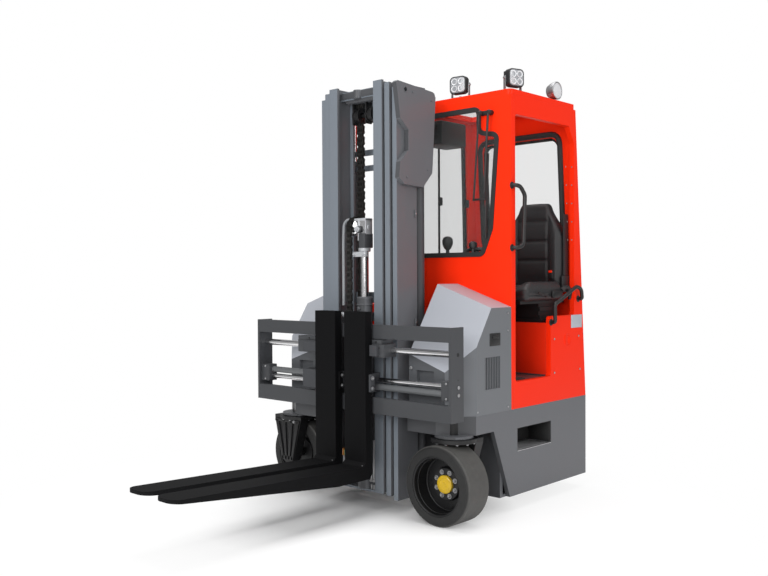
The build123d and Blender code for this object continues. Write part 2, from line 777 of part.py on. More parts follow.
# Front corner, made about the kingpin with the wheel's open face to -Y
wheel_y = -wheel_offset
with BuildPart() as leg:
    rod_along_z(0, 0, (leg_plate_bottom, leg_plate_top), turntable_radius)
    rod_along_z(0, 0, (leg_plate_top, kingpin_top), kingpin_radius)
    leg_front = wheel_y + tyre_width / 2 + leg_gap
    with BuildSketch(Plane.XZ.offset(-leg_front)):
        with BuildLine():
            Polyline(
                (-leg_top_half, leg_plate_bottom),
                (leg_top_half, leg_plate_bottom),
                (leg_foot_radius, tyre_radius),
                (-leg_foot_radius, tyre_radius),
                close=True,
            )
        make_face()
        with Locations((0, tyre_radius)):
            Circle(leg_foot_radius)
    extrude(amount=-leg_thickness)
    with Locations(Plane.XZ.offset(-wheel_y + 7)):
        with Locations((0, tyre_radius)):
            Cylinder(axle_radius, leg_front - wheel_y + 7, align=(Align.CENTER, Align.CENTER, Align.MAX))
    block((-leg_top_half, leg_top_half), (leg_front, leg_front + leg_thickness), (leg_plate_bottom, leg_plate_top))


def wheel_profile(points):
    """Revolves a half section, given as (distance along the axle, radius), about the axle."""
    with BuildSketch(Plane.YZ) as section:
        with Locations((wheel_y, tyre_radius)):
            Polygon(*points, align=None)
    revolve(section.sketch, axis=Axis((0, 0, tyre_radius), (0, 1, 0)))


half = tyre_width / 2
with BuildPart() as tyre:
    wheel_profile(
        (
            (-half, tyre_bore),
            (-half, tyre_radius - tyre_shoulder),
            (-half + tyre_shoulder, tyre_radius),
            (half - tyre_shoulder, tyre_radius),
            (half, tyre_radius - tyre_shoulder),
            (half, tyre_bore),
        )
    )

with BuildPart() as rim:
    wheel_profile(
        (
            (-half + 4, tyre_bore),
            (half - 4, tyre_bore),
            (half - 4, tyre_bore - rim_wall),
            (28, tyre_bore - rim_wall),
            (28, hub_radius),
            (40, hub_radius),
            (40, axle_radius + fit),
            (-8, axle_radius + fit),
            (-8, hub_radius),
            (14, hub_radius + 6),
            (14, tyre_bore - rim_wall),
            (-half + 4, tyre_bore - rim_wall),
        )
    )
    with BuildSketch(Plane.XZ.offset(-wheel_y + 8)):
        with Locations((0, tyre_radius)):
            Circle(hub_cap_radius)
    extrude(amount=14)

corners = (("right", kingpin_x, 0), ("left", -kingpin_x, 180))
for name, x, turn in corners:
    place = Location((x, kingpin_y, 0), (0, 0, turn))
    write(leg.part.moved(place), f"front_leg_{name}")
    write(tyre.part.moved(place), f"front_tyre_{name}")
    write(rim.part.moved(place), f"front_rim_{name}")

# Rear drive unit with its wheel on a side leg
with BuildPart() as drive:
    rod_along_z(0, drive_y, (drive_plate_bottom, drive_plate_top), turntable_radius)
    rod_along_z(0, drive_y, (drive_plate_top, deck_top - deck_thickness), drive_motor_radius)
    leg_y = drive_y + drive_tyre_width / 2 + leg_gap
    block((-70, 70), (leg_y, leg_y + drive_leg_thickness), (drive_tyre_radius - 40, drive_plate_bottom))
    block((-70, 70), (drive_y - 60, leg_y + drive_leg_thickness), (340, drive_plate_bottom))
    with Locations(Plane.XZ.offset(-leg_y)):
        with Locations((0, drive_tyre_radius)):
            Cylinder(axle_radius, drive_tyre_width / 2 + 10, align=(Align.CENTER, Align.CENTER, Align.MIN))
write(drive.part, "drive_unit")

half_drive = drive_tyre_width / 2
with BuildPart() as drive_tyre:
    with BuildSketch(Plane.YZ):
        with Locations((drive_y, drive_tyre_radius)):
            Polygon(
                (-half_drive, drive_bore),
                (-half_drive, 148),
                (-half_drive + 12, 160),
                (half_drive - 12, 160),
                (half_drive, 148),
                (half_drive, drive_bore),
                align=None,
            )
    revolve(axis=Axis((0, 0, drive_tyre_radius), (0, 1, 0)))
write(drive_tyre.part, "drive_tyre")

with BuildPart() as drive_rim:
    with BuildSketch(Plane.YZ):
        with Locations((drive_y, drive_tyre_radius)):
            Polygon(
                (-half_drive + 4, axle_radius + fit),
                (-half_drive + 4, drive_bore),
                (half_drive - 4, drive_bore),
                (half_drive - 4, drive_bore - 10),
                (12, drive_bore - 10),
                (12, 60),
                (half_drive - 4, 60),
                (half_drive - 4, axle_radius + fit),
                align=None,
            )
    revolve(axis=Axis((0, 0, drive_tyre_radius), (0, 1, 0)))
write(drive_rim.part, "drive_rim")
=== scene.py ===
"""Looks of the multidirectional forklift: paint, glass, rubber, seat, lamps and small fittings.

Shapes are modelled in millimetres, in the same frame as the truck, and scaled to metres when each
piece is finished. The forks point to -Y, the operator's door is on +X and Z is up.
"""

import math

import bmesh
import bpy
from mathutils import Euler, Matrix, Vector


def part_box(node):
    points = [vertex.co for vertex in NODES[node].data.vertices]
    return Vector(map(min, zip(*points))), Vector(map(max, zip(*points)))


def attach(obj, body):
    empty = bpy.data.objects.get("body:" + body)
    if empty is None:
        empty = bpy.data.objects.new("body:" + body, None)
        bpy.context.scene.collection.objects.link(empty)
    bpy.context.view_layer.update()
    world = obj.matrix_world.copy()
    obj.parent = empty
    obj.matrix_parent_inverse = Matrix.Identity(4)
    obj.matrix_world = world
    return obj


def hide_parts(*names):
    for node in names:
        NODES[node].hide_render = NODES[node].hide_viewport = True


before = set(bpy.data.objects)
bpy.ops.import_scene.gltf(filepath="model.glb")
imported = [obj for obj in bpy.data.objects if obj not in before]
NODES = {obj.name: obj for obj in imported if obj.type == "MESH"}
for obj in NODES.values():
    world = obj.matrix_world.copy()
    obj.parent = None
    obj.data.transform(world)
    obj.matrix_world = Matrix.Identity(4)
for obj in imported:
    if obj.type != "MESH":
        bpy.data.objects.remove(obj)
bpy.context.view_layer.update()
MM = 0.001
X, Y, Z = Vector((1, 0, 0)), Vector((0, 1, 0)), Vector((0, 0, 1))

# Camera: solved from the photograph's own edges
PHOTO_WIDTH = 768
CAMERA_PLACE = (3.3303, -3.4380, 1.2526)
CAMERA_AZIMUTH = 0.75850
CAMERA_PITCH = -0.01965
CAMERA_ROLL = -0.00581
FOCAL_PIXELS = 890.92
CENTRE_X_OFFSET = 24.43
CENTRE_Y_OFFSET = 4.96
SENSOR_WIDTH = 36.0

# Colours, linear
RED = (0.870, 0.024, 0.003)
# Painted light: the red's forward faces are painted brighter, as if a lamp lit them from the front
LIT_FRONT_RED = (1.000, 0.028, 0.004)
GREY = (0.118, 0.122, 0.132)
LIGHT_GREY = (0.140, 0.147, 0.158)
# Painted highlight: the rails' forward faces are painted paler, for the sheen of the light on them
HIGHLIT_FLANGE_GREY = (0.158, 0.178, 0.203)
# Painted shade: the forward faces of the grey and the wing grey are painted darker, as in the shade of the
# parts above them
SHADED_FRONT_GREY = (0.066, 0.068, 0.073)
SHADED_WING_FRONT_GREY = (0.084, 0.088, 0.095)
# Painted highlight: the wings' upward faces are painted paler, for the overhead light on them
HIGHLIT_WING_TOP_GREY = (0.330, 0.345, 0.380)
DARK_GREY = (0.058, 0.060, 0.065)
# Painted shade: the dark grey's forward faces are painted a little darker
SHADED_DARK_FRONT_GREY = (0.050, 0.052, 0.056)
BLACK = (0.005, 0.005, 0.0055)
TYRE_GREY = (0.012, 0.012, 0.012)
YELLOW = (0.620, 0.400, 0.010)
CHROME = (0.720, 0.720, 0.730)
WHITE = (1.0, 1.0, 1.0)
SKY_LIGHT = 0.42
FLOOR_SIZE = 30


def add_object(name, data):
    made = bpy.data.objects.new(name, data)
    bpy.context.scene.collection.objects.link(made)
    return made


def set_camera():
    data = bpy.data.cameras.new("photo_camera")
    data.sensor_width = SENSOR_WIDTH
    data.lens = FOCAL_PIXELS * SENSOR_WIDTH / PHOTO_WIDTH
    data.shift_x = CENTRE_X_OFFSET / PHOTO_WIDTH
    data.shift_y = CENTRE_Y_OFFSET / PHOTO_WIDTH
    camera = add_object("photo_camera", data)
    turn = Euler((math.pi / 2 + CAMERA_PITCH, 0, CAMERA_AZIMUTH)).to_matrix().to_4x4()
    roll = Matrix.Rotation(CAMERA_ROLL, 4, "Z")
    camera.matrix_world = Matrix.Translation(CAMERA_PLACE) @ turn @ roll
    bpy.context.scene.camera = camera


# Shader maths


def operator(operation, swapped=False):
    """A method that adds a Math node for a socket and another socket or a number."""

    def run(self, other):
        values = (other, self) if swapped else (self, other)
        return self.shader.node("ShaderNodeMath", {"operation": operation}, dict(enumerate(values)))

    return run


class Socket:
    """A shader output, with arithmetic that adds Math nodes."""

    def __init__(self, shader, link):
        self.shader = shader
        self.link = link

    __add__ = operator("ADD")
    __radd__ = operator("ADD", True)
    __sub__ = operator("SUBTRACT")
    __rsub__ = operator("SUBTRACT", True)
    __mul__ = operator("MULTIPLY")
    __rmul__ = operator("MULTIPLY", True)
    __truediv__ = operator("DIVIDE")
    __pow__ = operator("POWER")
    above = operator("GREATER_THAN")

    def clamp(self):
        return self.shader.node(
            "ShaderNodeMath", {"operation": "MULTIPLY", "use_clamp": True}, {0: self, 1: 1.0}
        )


class Shader:
    """One material, or the world, and the nodes that are added to it."""

    def __init__(self, name, world=None):
        self.material = world or bpy.data.materials.new(name)
        self.material.use_nodes = True
        self.tree = self.material.node_tree
        self.surface = self.tree.nodes["Background" if world else "Principled BSDF"]

    def node(self, kind, settings=None, values=None, output=0):
        """Adds any node: its settings first, then the values or links of its sockets."""
        made = self.tree.nodes.new(kind)
        for key, value in (settings or {}).items():
            if key == "stops":
                ramp = made.color_ramp
                while len(ramp.elements) < len(value):
                    ramp.elements.new(0.5)
                for element, (place, shade) in zip(ramp.elements, value):
                    element.position = place
                    element.color = (shade, shade, shade, 1) if isinstance(shade, float) else (*shade, 1)
            else:
                setattr(made, key, value)
        for key, value in (values or {}).items():
            self.fill(made.inputs[key], value)
        return Socket(self, made.outputs[output])

    def fill(self, socket, value):
        if isinstance(value, Socket):
            self.tree.links.new(value.link, socket)
        elif isinstance(value, tuple) and len(value) == 3 and socket.type == "RGBA":
            socket.default_value = (*value, 1)
        else:
            socket.default_value = value

    def set(self, **values):
        """Sets or links sockets of the surface, named with underscores for spaces."""
        for key, value in values.items():
            self.fill(self.surface.inputs[key.replace("_", " ")], value)

    def place(self):
        return self.node("ShaderNodeTexCoord", output="Object")

    def axis(self, letter, of=None):
        return self.node("ShaderNodeSeparateXYZ", {}, {0: of or self.place()}, output=letter)

    def stretch(self, scale):
        return self.node("ShaderNodeMapping", {}, {"Vector": self.place(), "Scale": scale})

    def noise(self, scale, detail=4.0, rough=0.55, vector=None):
        return self.node(
            "ShaderNodeTexNoise",
            {},
            {"Vector": vector or self.place(), "Scale": scale, "Detail": detail, "Roughness": rough},
        )

    def ramp(self, value, *stops):
        return self.node("ShaderNodeValToRGB", {"stops": stops}, {0: value})

    def mix(self, factor, one, two):
        return self.node("ShaderNodeMix", {"data_type": "RGBA"}, {0: factor, 6: one, 7: two}, output=2)

    def bump(self, height, distance, strength, normal=None):
        values = {"Height": height, "Distance": distance, "Strength": strength}
        if normal:
            values["Normal"] = normal
        return self.node("ShaderNodeBump", {}, values)

    def round_edges(self, radius):
        return self.node("ShaderNodeBevel", {"samples": 4}, {"Radius": radius})


def paint(
    name, colour, rough=0.32, coat=0.15, grain=0.00012, edge=0.0022, dirt=0.25, metal=0.0,
    front=None, top=None, lugs=None, shine=0.2,
):
    """Sprayed or powder-coated steel: soft orange peel, faint tone changes and rounded edges.

    front and top, if given, are painted light and shade: colours painted on the faces that look forward and
    up, lighter or darker than the paint because of how the light falls on them. lugs is a place along Y, two
    along X and the colour of what lies behind the first and outside the other two."""
    s = Shader(name)
    tone = s.noise(2.3, 5.0)
    peel = s.noise(420.0, 2.0)
    low = 1 - s.ramp(s.axis("Z"), (0.02, 0.0), (0.55, 1.0))
    dust = (s.noise(9.0, 6.0, 0.7) * low * dirt).clamp()
    shade = s.mix(tone * 0.35, tuple(c * 0.93 for c in colour), tuple(min(c * 1.06, 1.0) for c in colour))
    # Painted light and shade: faces that look forward take the front colour
    if front:
        facing = s.axis("Y", s.node("ShaderNodeNewGeometry", output="Normal"))
        shade = s.mix((facing * -1.0).above(0.75), shade, front)
    # Painted highlight: faces that look up take the top colour
    if top:
        up = s.axis("Z", s.node("ShaderNodeNewGeometry", output="Normal"))
        shade = s.mix(s.ramp(up, (0.18, 0.0), (0.42, 1.0)), shade, top)
    if lugs:
        behind, left, right, lug_colour = lugs
        x = s.axis("X")
        apart = (s.axis("Y").above(behind) + (1 - x.above(left)) + x.above(right)).clamp()
        shade = s.mix(apart, shade, lug_colour)
    s.set(
        Base_Color=s.mix(dust, shade, tuple(0.6 * c + 0.05 for c in colour)),
        Roughness=(rough + tone * 0.08 + dust * 0.3).clamp(),
        Metallic=metal,
        Specular_IOR_Level=shine,
        Coat_Weight=coat,
        Coat_Roughness=0.12,
        Normal=s.bump(peel, grain, 0.35, s.round_edges(edge)),
    )
    return s.material


def chrome_rod(name):
    s = Shader(name)
    turned = s.noise(900.0, 2.0, vector=s.stretch((1.0, 0.06, 1.0)))
    s.set(
        Base_Color=CHROME,
        Metallic=1.0,
        Roughness=(0.12 + turned * 0.10).clamp(),
        Normal=s.bump(turned, 0.00003, 0.3),
    )
    return s.material


def rod_set(name):
    """Chromed rods, and grey paint on the barrel among the twin rods of each side."""
    s = Shader(name)
    z = s.axis("Z")
    right = s.axis("X").above(0.0)
    barrel = right * (1 - z.above(0.688)) + (1 - right) * (z.above(0.687) - z.above(0.75))
    turned = s.noise(900.0, 2.0, vector=s.stretch((0.06, 1.0, 1.0)))
    s.set(
        Base_Color=s.mix(barrel, CHROME, (0.11, 0.115, 0.12)),
        Metallic=1 - barrel,
        Roughness=(0.12 + turned * 0.10 + barrel * 0.22).clamp(),
        Normal=s.bump(turned, 0.00003, 0.3),
    )
    return s.material


def lamp_face(name, colour, painted_glow):
    s = Shader(name)
    cells = s.noise(90.0, 2.0)
    # Painted reflection: the faint white glow stands for studio light mirrored in the reflector and lens
    s.set(
        Base_Color=s.mix(cells, tuple(0.8 * c for c in colour), colour),
        Roughness=0.12,
        Coat_Weight=0.6,
        Emission_Color=WHITE,
        Emission_Strength=painted_glow,
    )
    return s.material


def two_tone_paint(name, low, high, edge):
    """Paint that changes colour at a height."""
    s = Shader(name)
    tone = s.noise(2.3, 5.0)
    s.set(
        Base_Color=s.mix(s.axis("Z").above(edge), low, high),
        Roughness=(0.34 + tone * 0.10).clamp(),
        Coat_Weight=0.25,
        Normal=s.bump(s.noise(420.0, 2.0), 0.00012, 0.35, s.round_edges(0.0022)),
    )
    return s.material


def grained(name, colour, worn, rough, swing, tone, share, grain, bump, edge=None, metal=0.0):
    """A surface whose colour and gloss drift with a coarse noise, and with a finer one as its relief."""
    s = Shader(name)
    drift = s.noise(*tone)
    relief = s.bump(s.noise(*grain), *bump, s.round_edges(edge) if edge else None)
    s.set(
        Base_Color=s.mix(drift * share, colour, worn),
        Roughness=(rough + drift * swing).clamp(),
        Metallic=metal,
        Normal=relief,
    )
    return s.material


def steel(name, colour=(0.42, 0.42, 0.43), rough=0.38):
    fine = (320.0, 3.0)
    dull = tuple(0.8 * c for c in colour)
    return grained(name, dull, colour, rough, 0.12, fine, 1.0, fine, (0.00005, 0.4), metal=1.0)


def plastic(name, colour=BLACK, rough=0.45):
    s = Shader(name)
    grain = s.node("ShaderNodeTexVoronoi", {}, {"Vector": s.place(), "Scale": 900.0})
    wear = s.noise(14.0, 4.0)
    s.set(
        Base_Color=s.mix(wear * 0.5, colour, tuple(c * 1.6 + 0.004 for c in colour)),
        Roughness=(rough + wear * 0.1).clamp(),
        Normal=s.bump(grain, 0.00008, 0.5, s.round_edges(0.0015)),
    )
    return s.material


def rubber(name, colour=(0.010, 0.010, 0.010), rough=0.6):
    bloom = tuple(c * 1.7 + 0.003 for c in colour)
    return grained(name, colour, bloom, rough, 0.12, (6.0, 5.0), 0.6, (260.0, 4.0), (0.00010, 0.5), 0.002)


def tyre_rubber(name, centre, radius):
    """Solid tyre: dark moulded sidewalls and a paler tread, partly scuffed and partly a painted sheen."""
    s = Shader(name)
    across = s.axis("X") - centre[0]
    up = s.axis("Z") - centre[2]
    distance = (across * across + up * up) ** 0.5
    tread = s.ramp(distance / radius, (0.955, 0.0), (0.985, 1.0))
    scuff = s.noise(38.0, 6.0, 0.65)
    fine = s.noise(340.0, 3.0)
    rings = s.node("ShaderNodeMath", {"operation": "SINE"}, {0: distance * 1400.0})
    # Painted sheen: the tread's pale colour is partly real scuffing and partly painted light for its sheen
    pale = s.mix(scuff, (0.045, 0.044, 0.042), (0.085, 0.083, 0.079))
    side = s.mix(scuff * 0.7, TYRE_GREY, (0.030, 0.030, 0.030))
    s.set(
        Base_Color=s.mix(tread, side, pale),
        Roughness=(0.58 + scuff * 0.16 - tread * 0.10).clamp(),
        Specular_IOR_Level=0.3,
        Normal=s.bump(fine + rings * 0.12 * (1 - tread), 0.00014, 0.5, s.round_edges(0.004)),
    )
    return s.material


def window_glass(name):
    s = Shader(name)
    film = s.noise(5.0, 3.0)
    s.set(
        Base_Color=(0.12, 0.14, 0.14),
        Roughness=(0.01 + film * 0.02).clamp(),
        IOR=1.45,
        Alpha=0.12,
        Coat_Weight=0.0,
        Specular_IOR_Level=0.6,
    )
    s.material.surface_render_method = "BLENDED"
    return s.material


def chain_steel(name):
    oil = (60.0, 5.0)
    dark, bright = (0.020, 0.019, 0.018), (0.075, 0.072, 0.068)
    return grained(name, dark, bright, 0.34, 0.25, oil, 1.0, oil, (0.00012, 0.4), metal=0.85)


def vinyl(name):
    """Black seat vinyl: fine leather-like grain with soft wear on the crowns."""
    s = Shader(name)
    values = {"Vector": s.place(), "Scale": 520.0}
    cells = s.node("ShaderNodeTexVoronoi", {"feature": "DISTANCE_TO_EDGE"}, values)
    grain = s.ramp(cells, (0.0, 0.0), (0.12, 1.0))
    wear = s.noise(11.0, 5.0)
    s.set(
        Base_Color=s.mix(wear * 0.6, (0.010, 0.010, 0.011), (0.024, 0.024, 0.026)),
        Roughness=(0.42 + wear * 0.12).clamp(),
        Normal=s.bump(grain, 0.00018, 0.55),
    )
    return s.material


def cast_iron_paint(name):
    s = Shader(name)
    sand = s.noise(240.0, 5.0, 0.7)
    tone = s.noise(7.0, 4.0)
    s.set(
        Base_Color=s.mix(tone * 0.6, BLACK, tuple(c * 1.9 + 0.004 for c in BLACK)),
        Roughness=(0.36 + sand * 0.22).clamp(),
        Metallic=0.2,
        Normal=s.bump(sand, 0.0003, 0.45, s.round_edges(0.003)),
    )
    return s.material


# Painted light and shade: the front and top colours given to the paints below colour their forward and
# upward faces for how the light falls
MATERIALS = {
    "red": paint("red_powder_coat", RED, 0.30, 0.02, front=LIT_FRONT_RED, shine=0.1),
    "grey": paint("grey_paint", GREY, 0.34, 0.12, front=SHADED_FRONT_GREY),
    "rail": paint("rail_paint", GREY, 0.34, 0.12, front=HIGHLIT_FLANGE_GREY),
    "wing_grey": paint("wing_grey_paint", LIGHT_GREY, 0.33, 0.2, front=SHADED_WING_FRONT_GREY, top=HIGHLIT_WING_TOP_GREY),
    "dark": paint("dark_grey_paint", DARK_GREY, 0.40, 0.08, front=SHADED_DARK_FRONT_GREY),
    "fork": paint(
        "black_fork_paint", BLACK, 0.55, 0.0, grain=0.0002, edge=0.004, dirt=0.1,
        lugs=(-0.0585, -0.1600, 0.2135, DARK_GREY), shine=0.06,
    ),
    "cast": cast_iron_paint("black_casting"),
    "chrome": chrome_rod("chromed_rod"),
    "steel": steel("bright_zinc"),
    "plastic": plastic("black_moulded_plastic"),
    "rubber": rubber("window_rubber"),
    "glass": window_glass("clear_window_glass"),
    "chain": chain_steel("oiled_chain"),
    "vinyl": vinyl("seat_vinyl"),
    "yellow": paint("yellow_hub_cap", YELLOW, 0.25, 0.5),
    "silver": paint("silver_paint", (0.46, 0.47, 0.49), 0.3, 0.3, metal=0.3),
    "plate": paint("blank_plate", (0.40, 0.43, 0.47), 0.35, 0.2),
    "orange": plastic("orange_cap", (0.55, 0.20, 0.02), 0.4),
    "green": plastic("green_cap", (0.03, 0.42, 0.26), 0.4),
    "hose_grey": rubber("grey_hose", (0.20, 0.21, 0.22), 0.45),
    "alloy": steel("bare_alloy", (0.55, 0.55, 0.56), 0.35),
    "reflector": lamp_face("lamp_reflector", (0.62, 0.63, 0.65), 0.10),
    "lamp_lens": lamp_face("lamp_lens", (0.30, 0.31, 0.33), 0.03),
    "rods": rod_set("positioner_rods"),
    "floor_and_plinth": two_tone_paint("floor_and_plinth", DARK_GREY, RED, 0.69),
}

NODE_MATERIALS = {
    "red": "battery_hood cab_front cab_door_side cab_left_side cab_rear cab_roof",
    "grey": "chassis mast_cover free_lift_cylinder",
    "rail": "mast_outer mast_middle mast_inner",
    "wing_grey": "wing_right wing_left",
    "dark": "carriage lift_cylinders tilt_cylinders battery",
    "floor_and_plinth": "cab_floor",
    "rods": "guide_rods",
    "fork": "fork_right fork_left",
    "cast": "front_leg_right front_leg_left front_rim_right front_rim_left drive_unit drive_rim",
    "chrome": "free_lift_rod lift_rods tilt_rods",
    "plastic": "seat_base console grab_rails work_lamps wiper",
    "rubber": "window_seals",
    "glass": "cab_glass",
    "chain": "mast_chain carriage_chain",
    "vinyl": "seat_cushion seat_back",
}


def coat(thing, *materials):
    if thing.data.materials:
        thing.data.materials.clear()
    for material in materials:
        thing.data.materials.append(material)


def finish_cad_nodes():
    for key, names in NODE_MATERIALS.items():
        for name in names.split():
            coat(NODES[name], MATERIALS[key])
    for name in ("front_tyre_right", "front_tyre_left", "drive_tyre"):
        low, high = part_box(name)
        middle = (low + high) / 2
        coat(NODES[name], tyre_rubber(f"{name}_rubber", middle, (high.z - low.z) / 2))


def set_stage():
    """A plain pale floor, a white surround and soft lamps."""
    bm = bmesh.new()
    bmesh.ops.create_grid(bm, x_segments=1, y_segments=1, size=FLOOR_SIZE)
    mesh = bpy.data.meshes.new("floor")
    bm.to_mesh(mesh)
    bm.free()
    floor = add_object("floor", mesh)
    s = Shader("pale_floor")
    s.set(Base_Color=(0.94, 0.94, 0.94), Roughness=0.7)
    # Far off it turns white, so that no line shows where it meets the surround
    x, y = s.axis("X"), s.axis("Y")
    away = s.ramp(((x * x + y * y) ** 0.5) / 10.0, (0.05, 0.0), (0.09, 0.75), (0.20, 1.0))
    seen = s.node("ShaderNodeLightPath", output="Is Camera Ray")
    white = s.node("ShaderNodeEmission", {}, {"Color": WHITE, "Strength": 1.0})
    near = Socket(s, s.surface.outputs[0])
    ground = s.node("ShaderNodeMixShader", {}, {0: away * seen, 1: near, 2: white})
    s.fill(s.tree.nodes["Material Output"].inputs["Surface"], ground)
    coat(floor, s.material)
    world = bpy.data.worlds.new("studio")
    bpy.context.scene.world = world
    sky = Shader("studio", world)
    rays = [sky.node("ShaderNodeLightPath", output=f"Is {kind} Ray") for kind in ("Camera", "Transmission")]
    straight = sky.node("ShaderNodeMath", {"operation": "MAXIMUM"}, {0: rays[0], 1: rays[1]})
    level = sky.node("ShaderNodeMapRange", {}, {"Value": straight, "To Min": SKY_LIGHT, "To Max": 1.0})
    sky.set(Color=WHITE, Strength=level)
    lamps = (
        # name, place, aimed at, size, watts
        ("key", (1.2, -5.6, 3.6), (0.1, 0.3, 1.1), 4.0, 225),
        ("door_side", (6.0, 0.5, 3.6), (0.3, 0.4, 1.1), 3.5, 110),
        ("by_the_camera", (3.4, -4.0, 2.2), (0.3, 0.4, 1.1), 1.5, 45),
        ("overhead", (0.0, 0.5, 6.5), (0.0, 0.3, 0.0), 5.0, 300),
    )
    for name, place, aim, size, watts in lamps:
        data = bpy.data.lights.new(name, "AREA")
        data.size = size
        data.energy = watts
        lamp = add_object(name, data)
        lamp.location = place
        lamp.rotation_euler = (Vector(aim) - Vector(place)).to_track_quat("-Z", "Y").to_euler()


# Modelling in millimetres


SHARP_ANGLE = 0.6


def faces_around(vertices):
    """The faces at some points, each once and in the order of the points."""
    return list(dict.fromkeys(face for vertex in vertices for face in vertex.link_faces))


class Shape:
    """Geometry in millimetres, in the truck's frame. Each form gets one of the piece's materials."""

    def __init__(self):
        self.bm = bmesh.new()

    def _mark(self, faces, slot):
        for face in faces:
            face.material_index = slot
            face.smooth = True

    def _soften(self, vertices, bevel, segments=2):
        faces = faces_around(vertices)
        if bevel:
            edges = dict.fromkeys(edge for face in faces for edge in face.edges if len(edge.link_faces) == 2)
            sharp = [edge for edge in edges if edge.calc_face_angle(0) > SHARP_ANGLE]
            made = bmesh.ops.bevel(
                self.bm, geom=sharp, offset=bevel, segments=segments, affect="EDGES", profile=0.5,
                material=-1, clamp_overlap=True,
            )
            faces = [face for face in faces if face.is_valid] + made["faces"] + faces_around(made["verts"])
        return faces

    def box(self, x, y, z, bevel=1.5, slot=0, turn=None):
        """A box from its ranges; turn is (degrees, axis letter) about its own middle."""
        sizes = (x[1] - x[0], y[1] - y[0], z[1] - z[0])
        middle = Vector((sum(x) / 2, sum(y) / 2, sum(z) / 2))
        place = Matrix.Translation(middle)
        if turn:
            place = place @ Matrix.Rotation(math.radians(turn[0]), 4, turn[1])
        made = bmesh.ops.create_cube(self.bm, size=1, matrix=place @ Matrix.Diagonal((*sizes, 1)))
        self._mark(self._soften(made["verts"], bevel), slot)

    def rod(self, start, end, radius, sides=24, bevel=0.0, slot=0):
        """A round bar between two points."""
        start, end = Vector(start), Vector(end)
        way = end - start
        place = Matrix.Translation((start + end) / 2) @ way.to_track_quat("Z", "Y").to_matrix().to_4x4()
        made = bmesh.ops.create_cone(
            self.bm, segments=sides, radius1=radius, radius2=radius, depth=way.length, cap_ends=True,
            matrix=place,
        )
        self._mark(self._soften(made["verts"], bevel, 1), slot)

    def lathe(self, profile, centre, axis, sides=48, slot=0):
        """Turns a profile of (distance along the axis, radius) about the axis through the centre."""
        axis = Vector(axis)
        side = axis.orthogonal().normalized()
        places = [Vector(centre) + axis * along + side * radius for along, radius in profile]
        points = [self.bm.verts.new(place) for place in places]
        edges = [self.bm.edges.new(pair) for pair in zip(points, points[1:])]
        before = set(self.bm.faces)
        bmesh.ops.spin(
            self.bm, geom=points + edges, cent=centre, axis=axis, angle=2 * math.pi, steps=sides,
            use_merge=True,
        )
        faces = [face for face in self.bm.faces if face not in before]
        merged = dict.fromkeys(vertex for face in faces for vertex in face.verts)
        bmesh.ops.remove_doubles(self.bm, verts=list(merged), dist=0.01)
        faces = [face for face in self.bm.faces if face not in before]
        bmesh.ops.recalc_face_normals(self.bm, faces=faces)
        self._mark(faces, slot)

    def push(self, corners, way):
        """Makes a face of its corners and pushes it out."""
        points = [self.bm.verts.new(corner) for corner in corners]
        face = self.bm.faces.new(points)
        pushed = bmesh.ops.extrude_face_region(self.bm, geom=[face])
        moved = [part for part in pushed["geom"] if isinstance(part, bmesh.types.BMVert)]
        bmesh.ops.translate(self.bm, vec=way, verts=moved)
        return points + moved

    def plate(self, outline, start, thickness, bevel, slot=0):
        """A flat outline of (x, z) corners, pushed out along Y from its start."""
        vertices = self.push([(x, start, z) for x, z in outline], Y * thickness)
        bmesh.ops.recalc_face_normals(self.bm, faces=faces_around(vertices))
        self._mark(self._soften(vertices, bevel), slot)

    def ring(self, centre, axis, radius, wire, sides=40, slot=0):
        """A round ring of round wire."""
        steps = 10
        profile = [
            (wire * math.sin(2 * math.pi * i / steps), radius + wire * math.cos(2 * math.pi * i / steps))
            for i in range(steps + 1)
        ]
        self.lathe(profile, centre, axis, sides, slot)

    def tube(self, route, radius, bend=20.0, sides=12, slot=0):
        """A bent tube along a route, its corners rounded, swept from a curve."""
        points = smooth_route([Vector(point) for point in route], bend)
        curve = bpy.data.curves.new("route", "CURVE")
        curve.dimensions = "3D"
        curve.bevel_depth = radius
        curve.bevel_resolution = max(1, sides // 4 - 1)
        curve.use_fill_caps = True
        line = curve.splines.new("POLY")
        line.points.add(len(points) - 1)
        for place, point in zip(line.points, points):
            place.co = (*point, 1)
        holder = add_object("route", curve)
        bpy.context.view_layer.update()
        mesh = bpy.data.meshes.new_from_object(holder.evaluated_get(bpy.context.evaluated_depsgraph_get()))
        before = set(self.bm.faces)
        self.bm.from_mesh(mesh)
        self._mark([face for face in self.bm.faces if face not in before], slot)
        bpy.data.objects.remove(holder)
        bpy.data.curves.remove(curve)
        bpy.data.meshes.remove(mesh)

    def bolt(self, place, axis, size=13.0, slot=0):
        """A hexagon bolt head on its washer, standing on a surface."""
        place, axis = Vector(place), Vector(axis)
        self.rod(place - axis * 0.5, place + axis * size * 0.16, size * 0.85, 14, slot=slot)
        self.rod(place, place + axis * size * 0.62, size * 0.577, 6, size * 0.05, slot=slot)

    def cap_screw(self, place, axis, radius=6.0, slot=0):
        """A round head with rounded edge."""
        place, axis = Vector(place), Vector(axis)
        self.rod(place - axis * 0.5, place + axis * radius * 0.7, radius, 14, radius * 0.25, slot=slot)

    def mirror_x(self):
        """Adds the same forms on the other side of the truck."""
        copy = bmesh.ops.duplicate(self.bm, geom=self.bm.verts[:] + self.bm.edges[:] + self.bm.faces[:])
        points = [part for part in copy["geom"] if isinstance(part, bmesh.types.BMVert)]
        faces = [part for part in copy["geom"] if isinstance(part, bmesh.types.BMFace)]
        bmesh.ops.scale(self.bm, vec=(-1, 1, 1), verts=points)
        bmesh.ops.reverse_faces(self.bm, faces=faces)

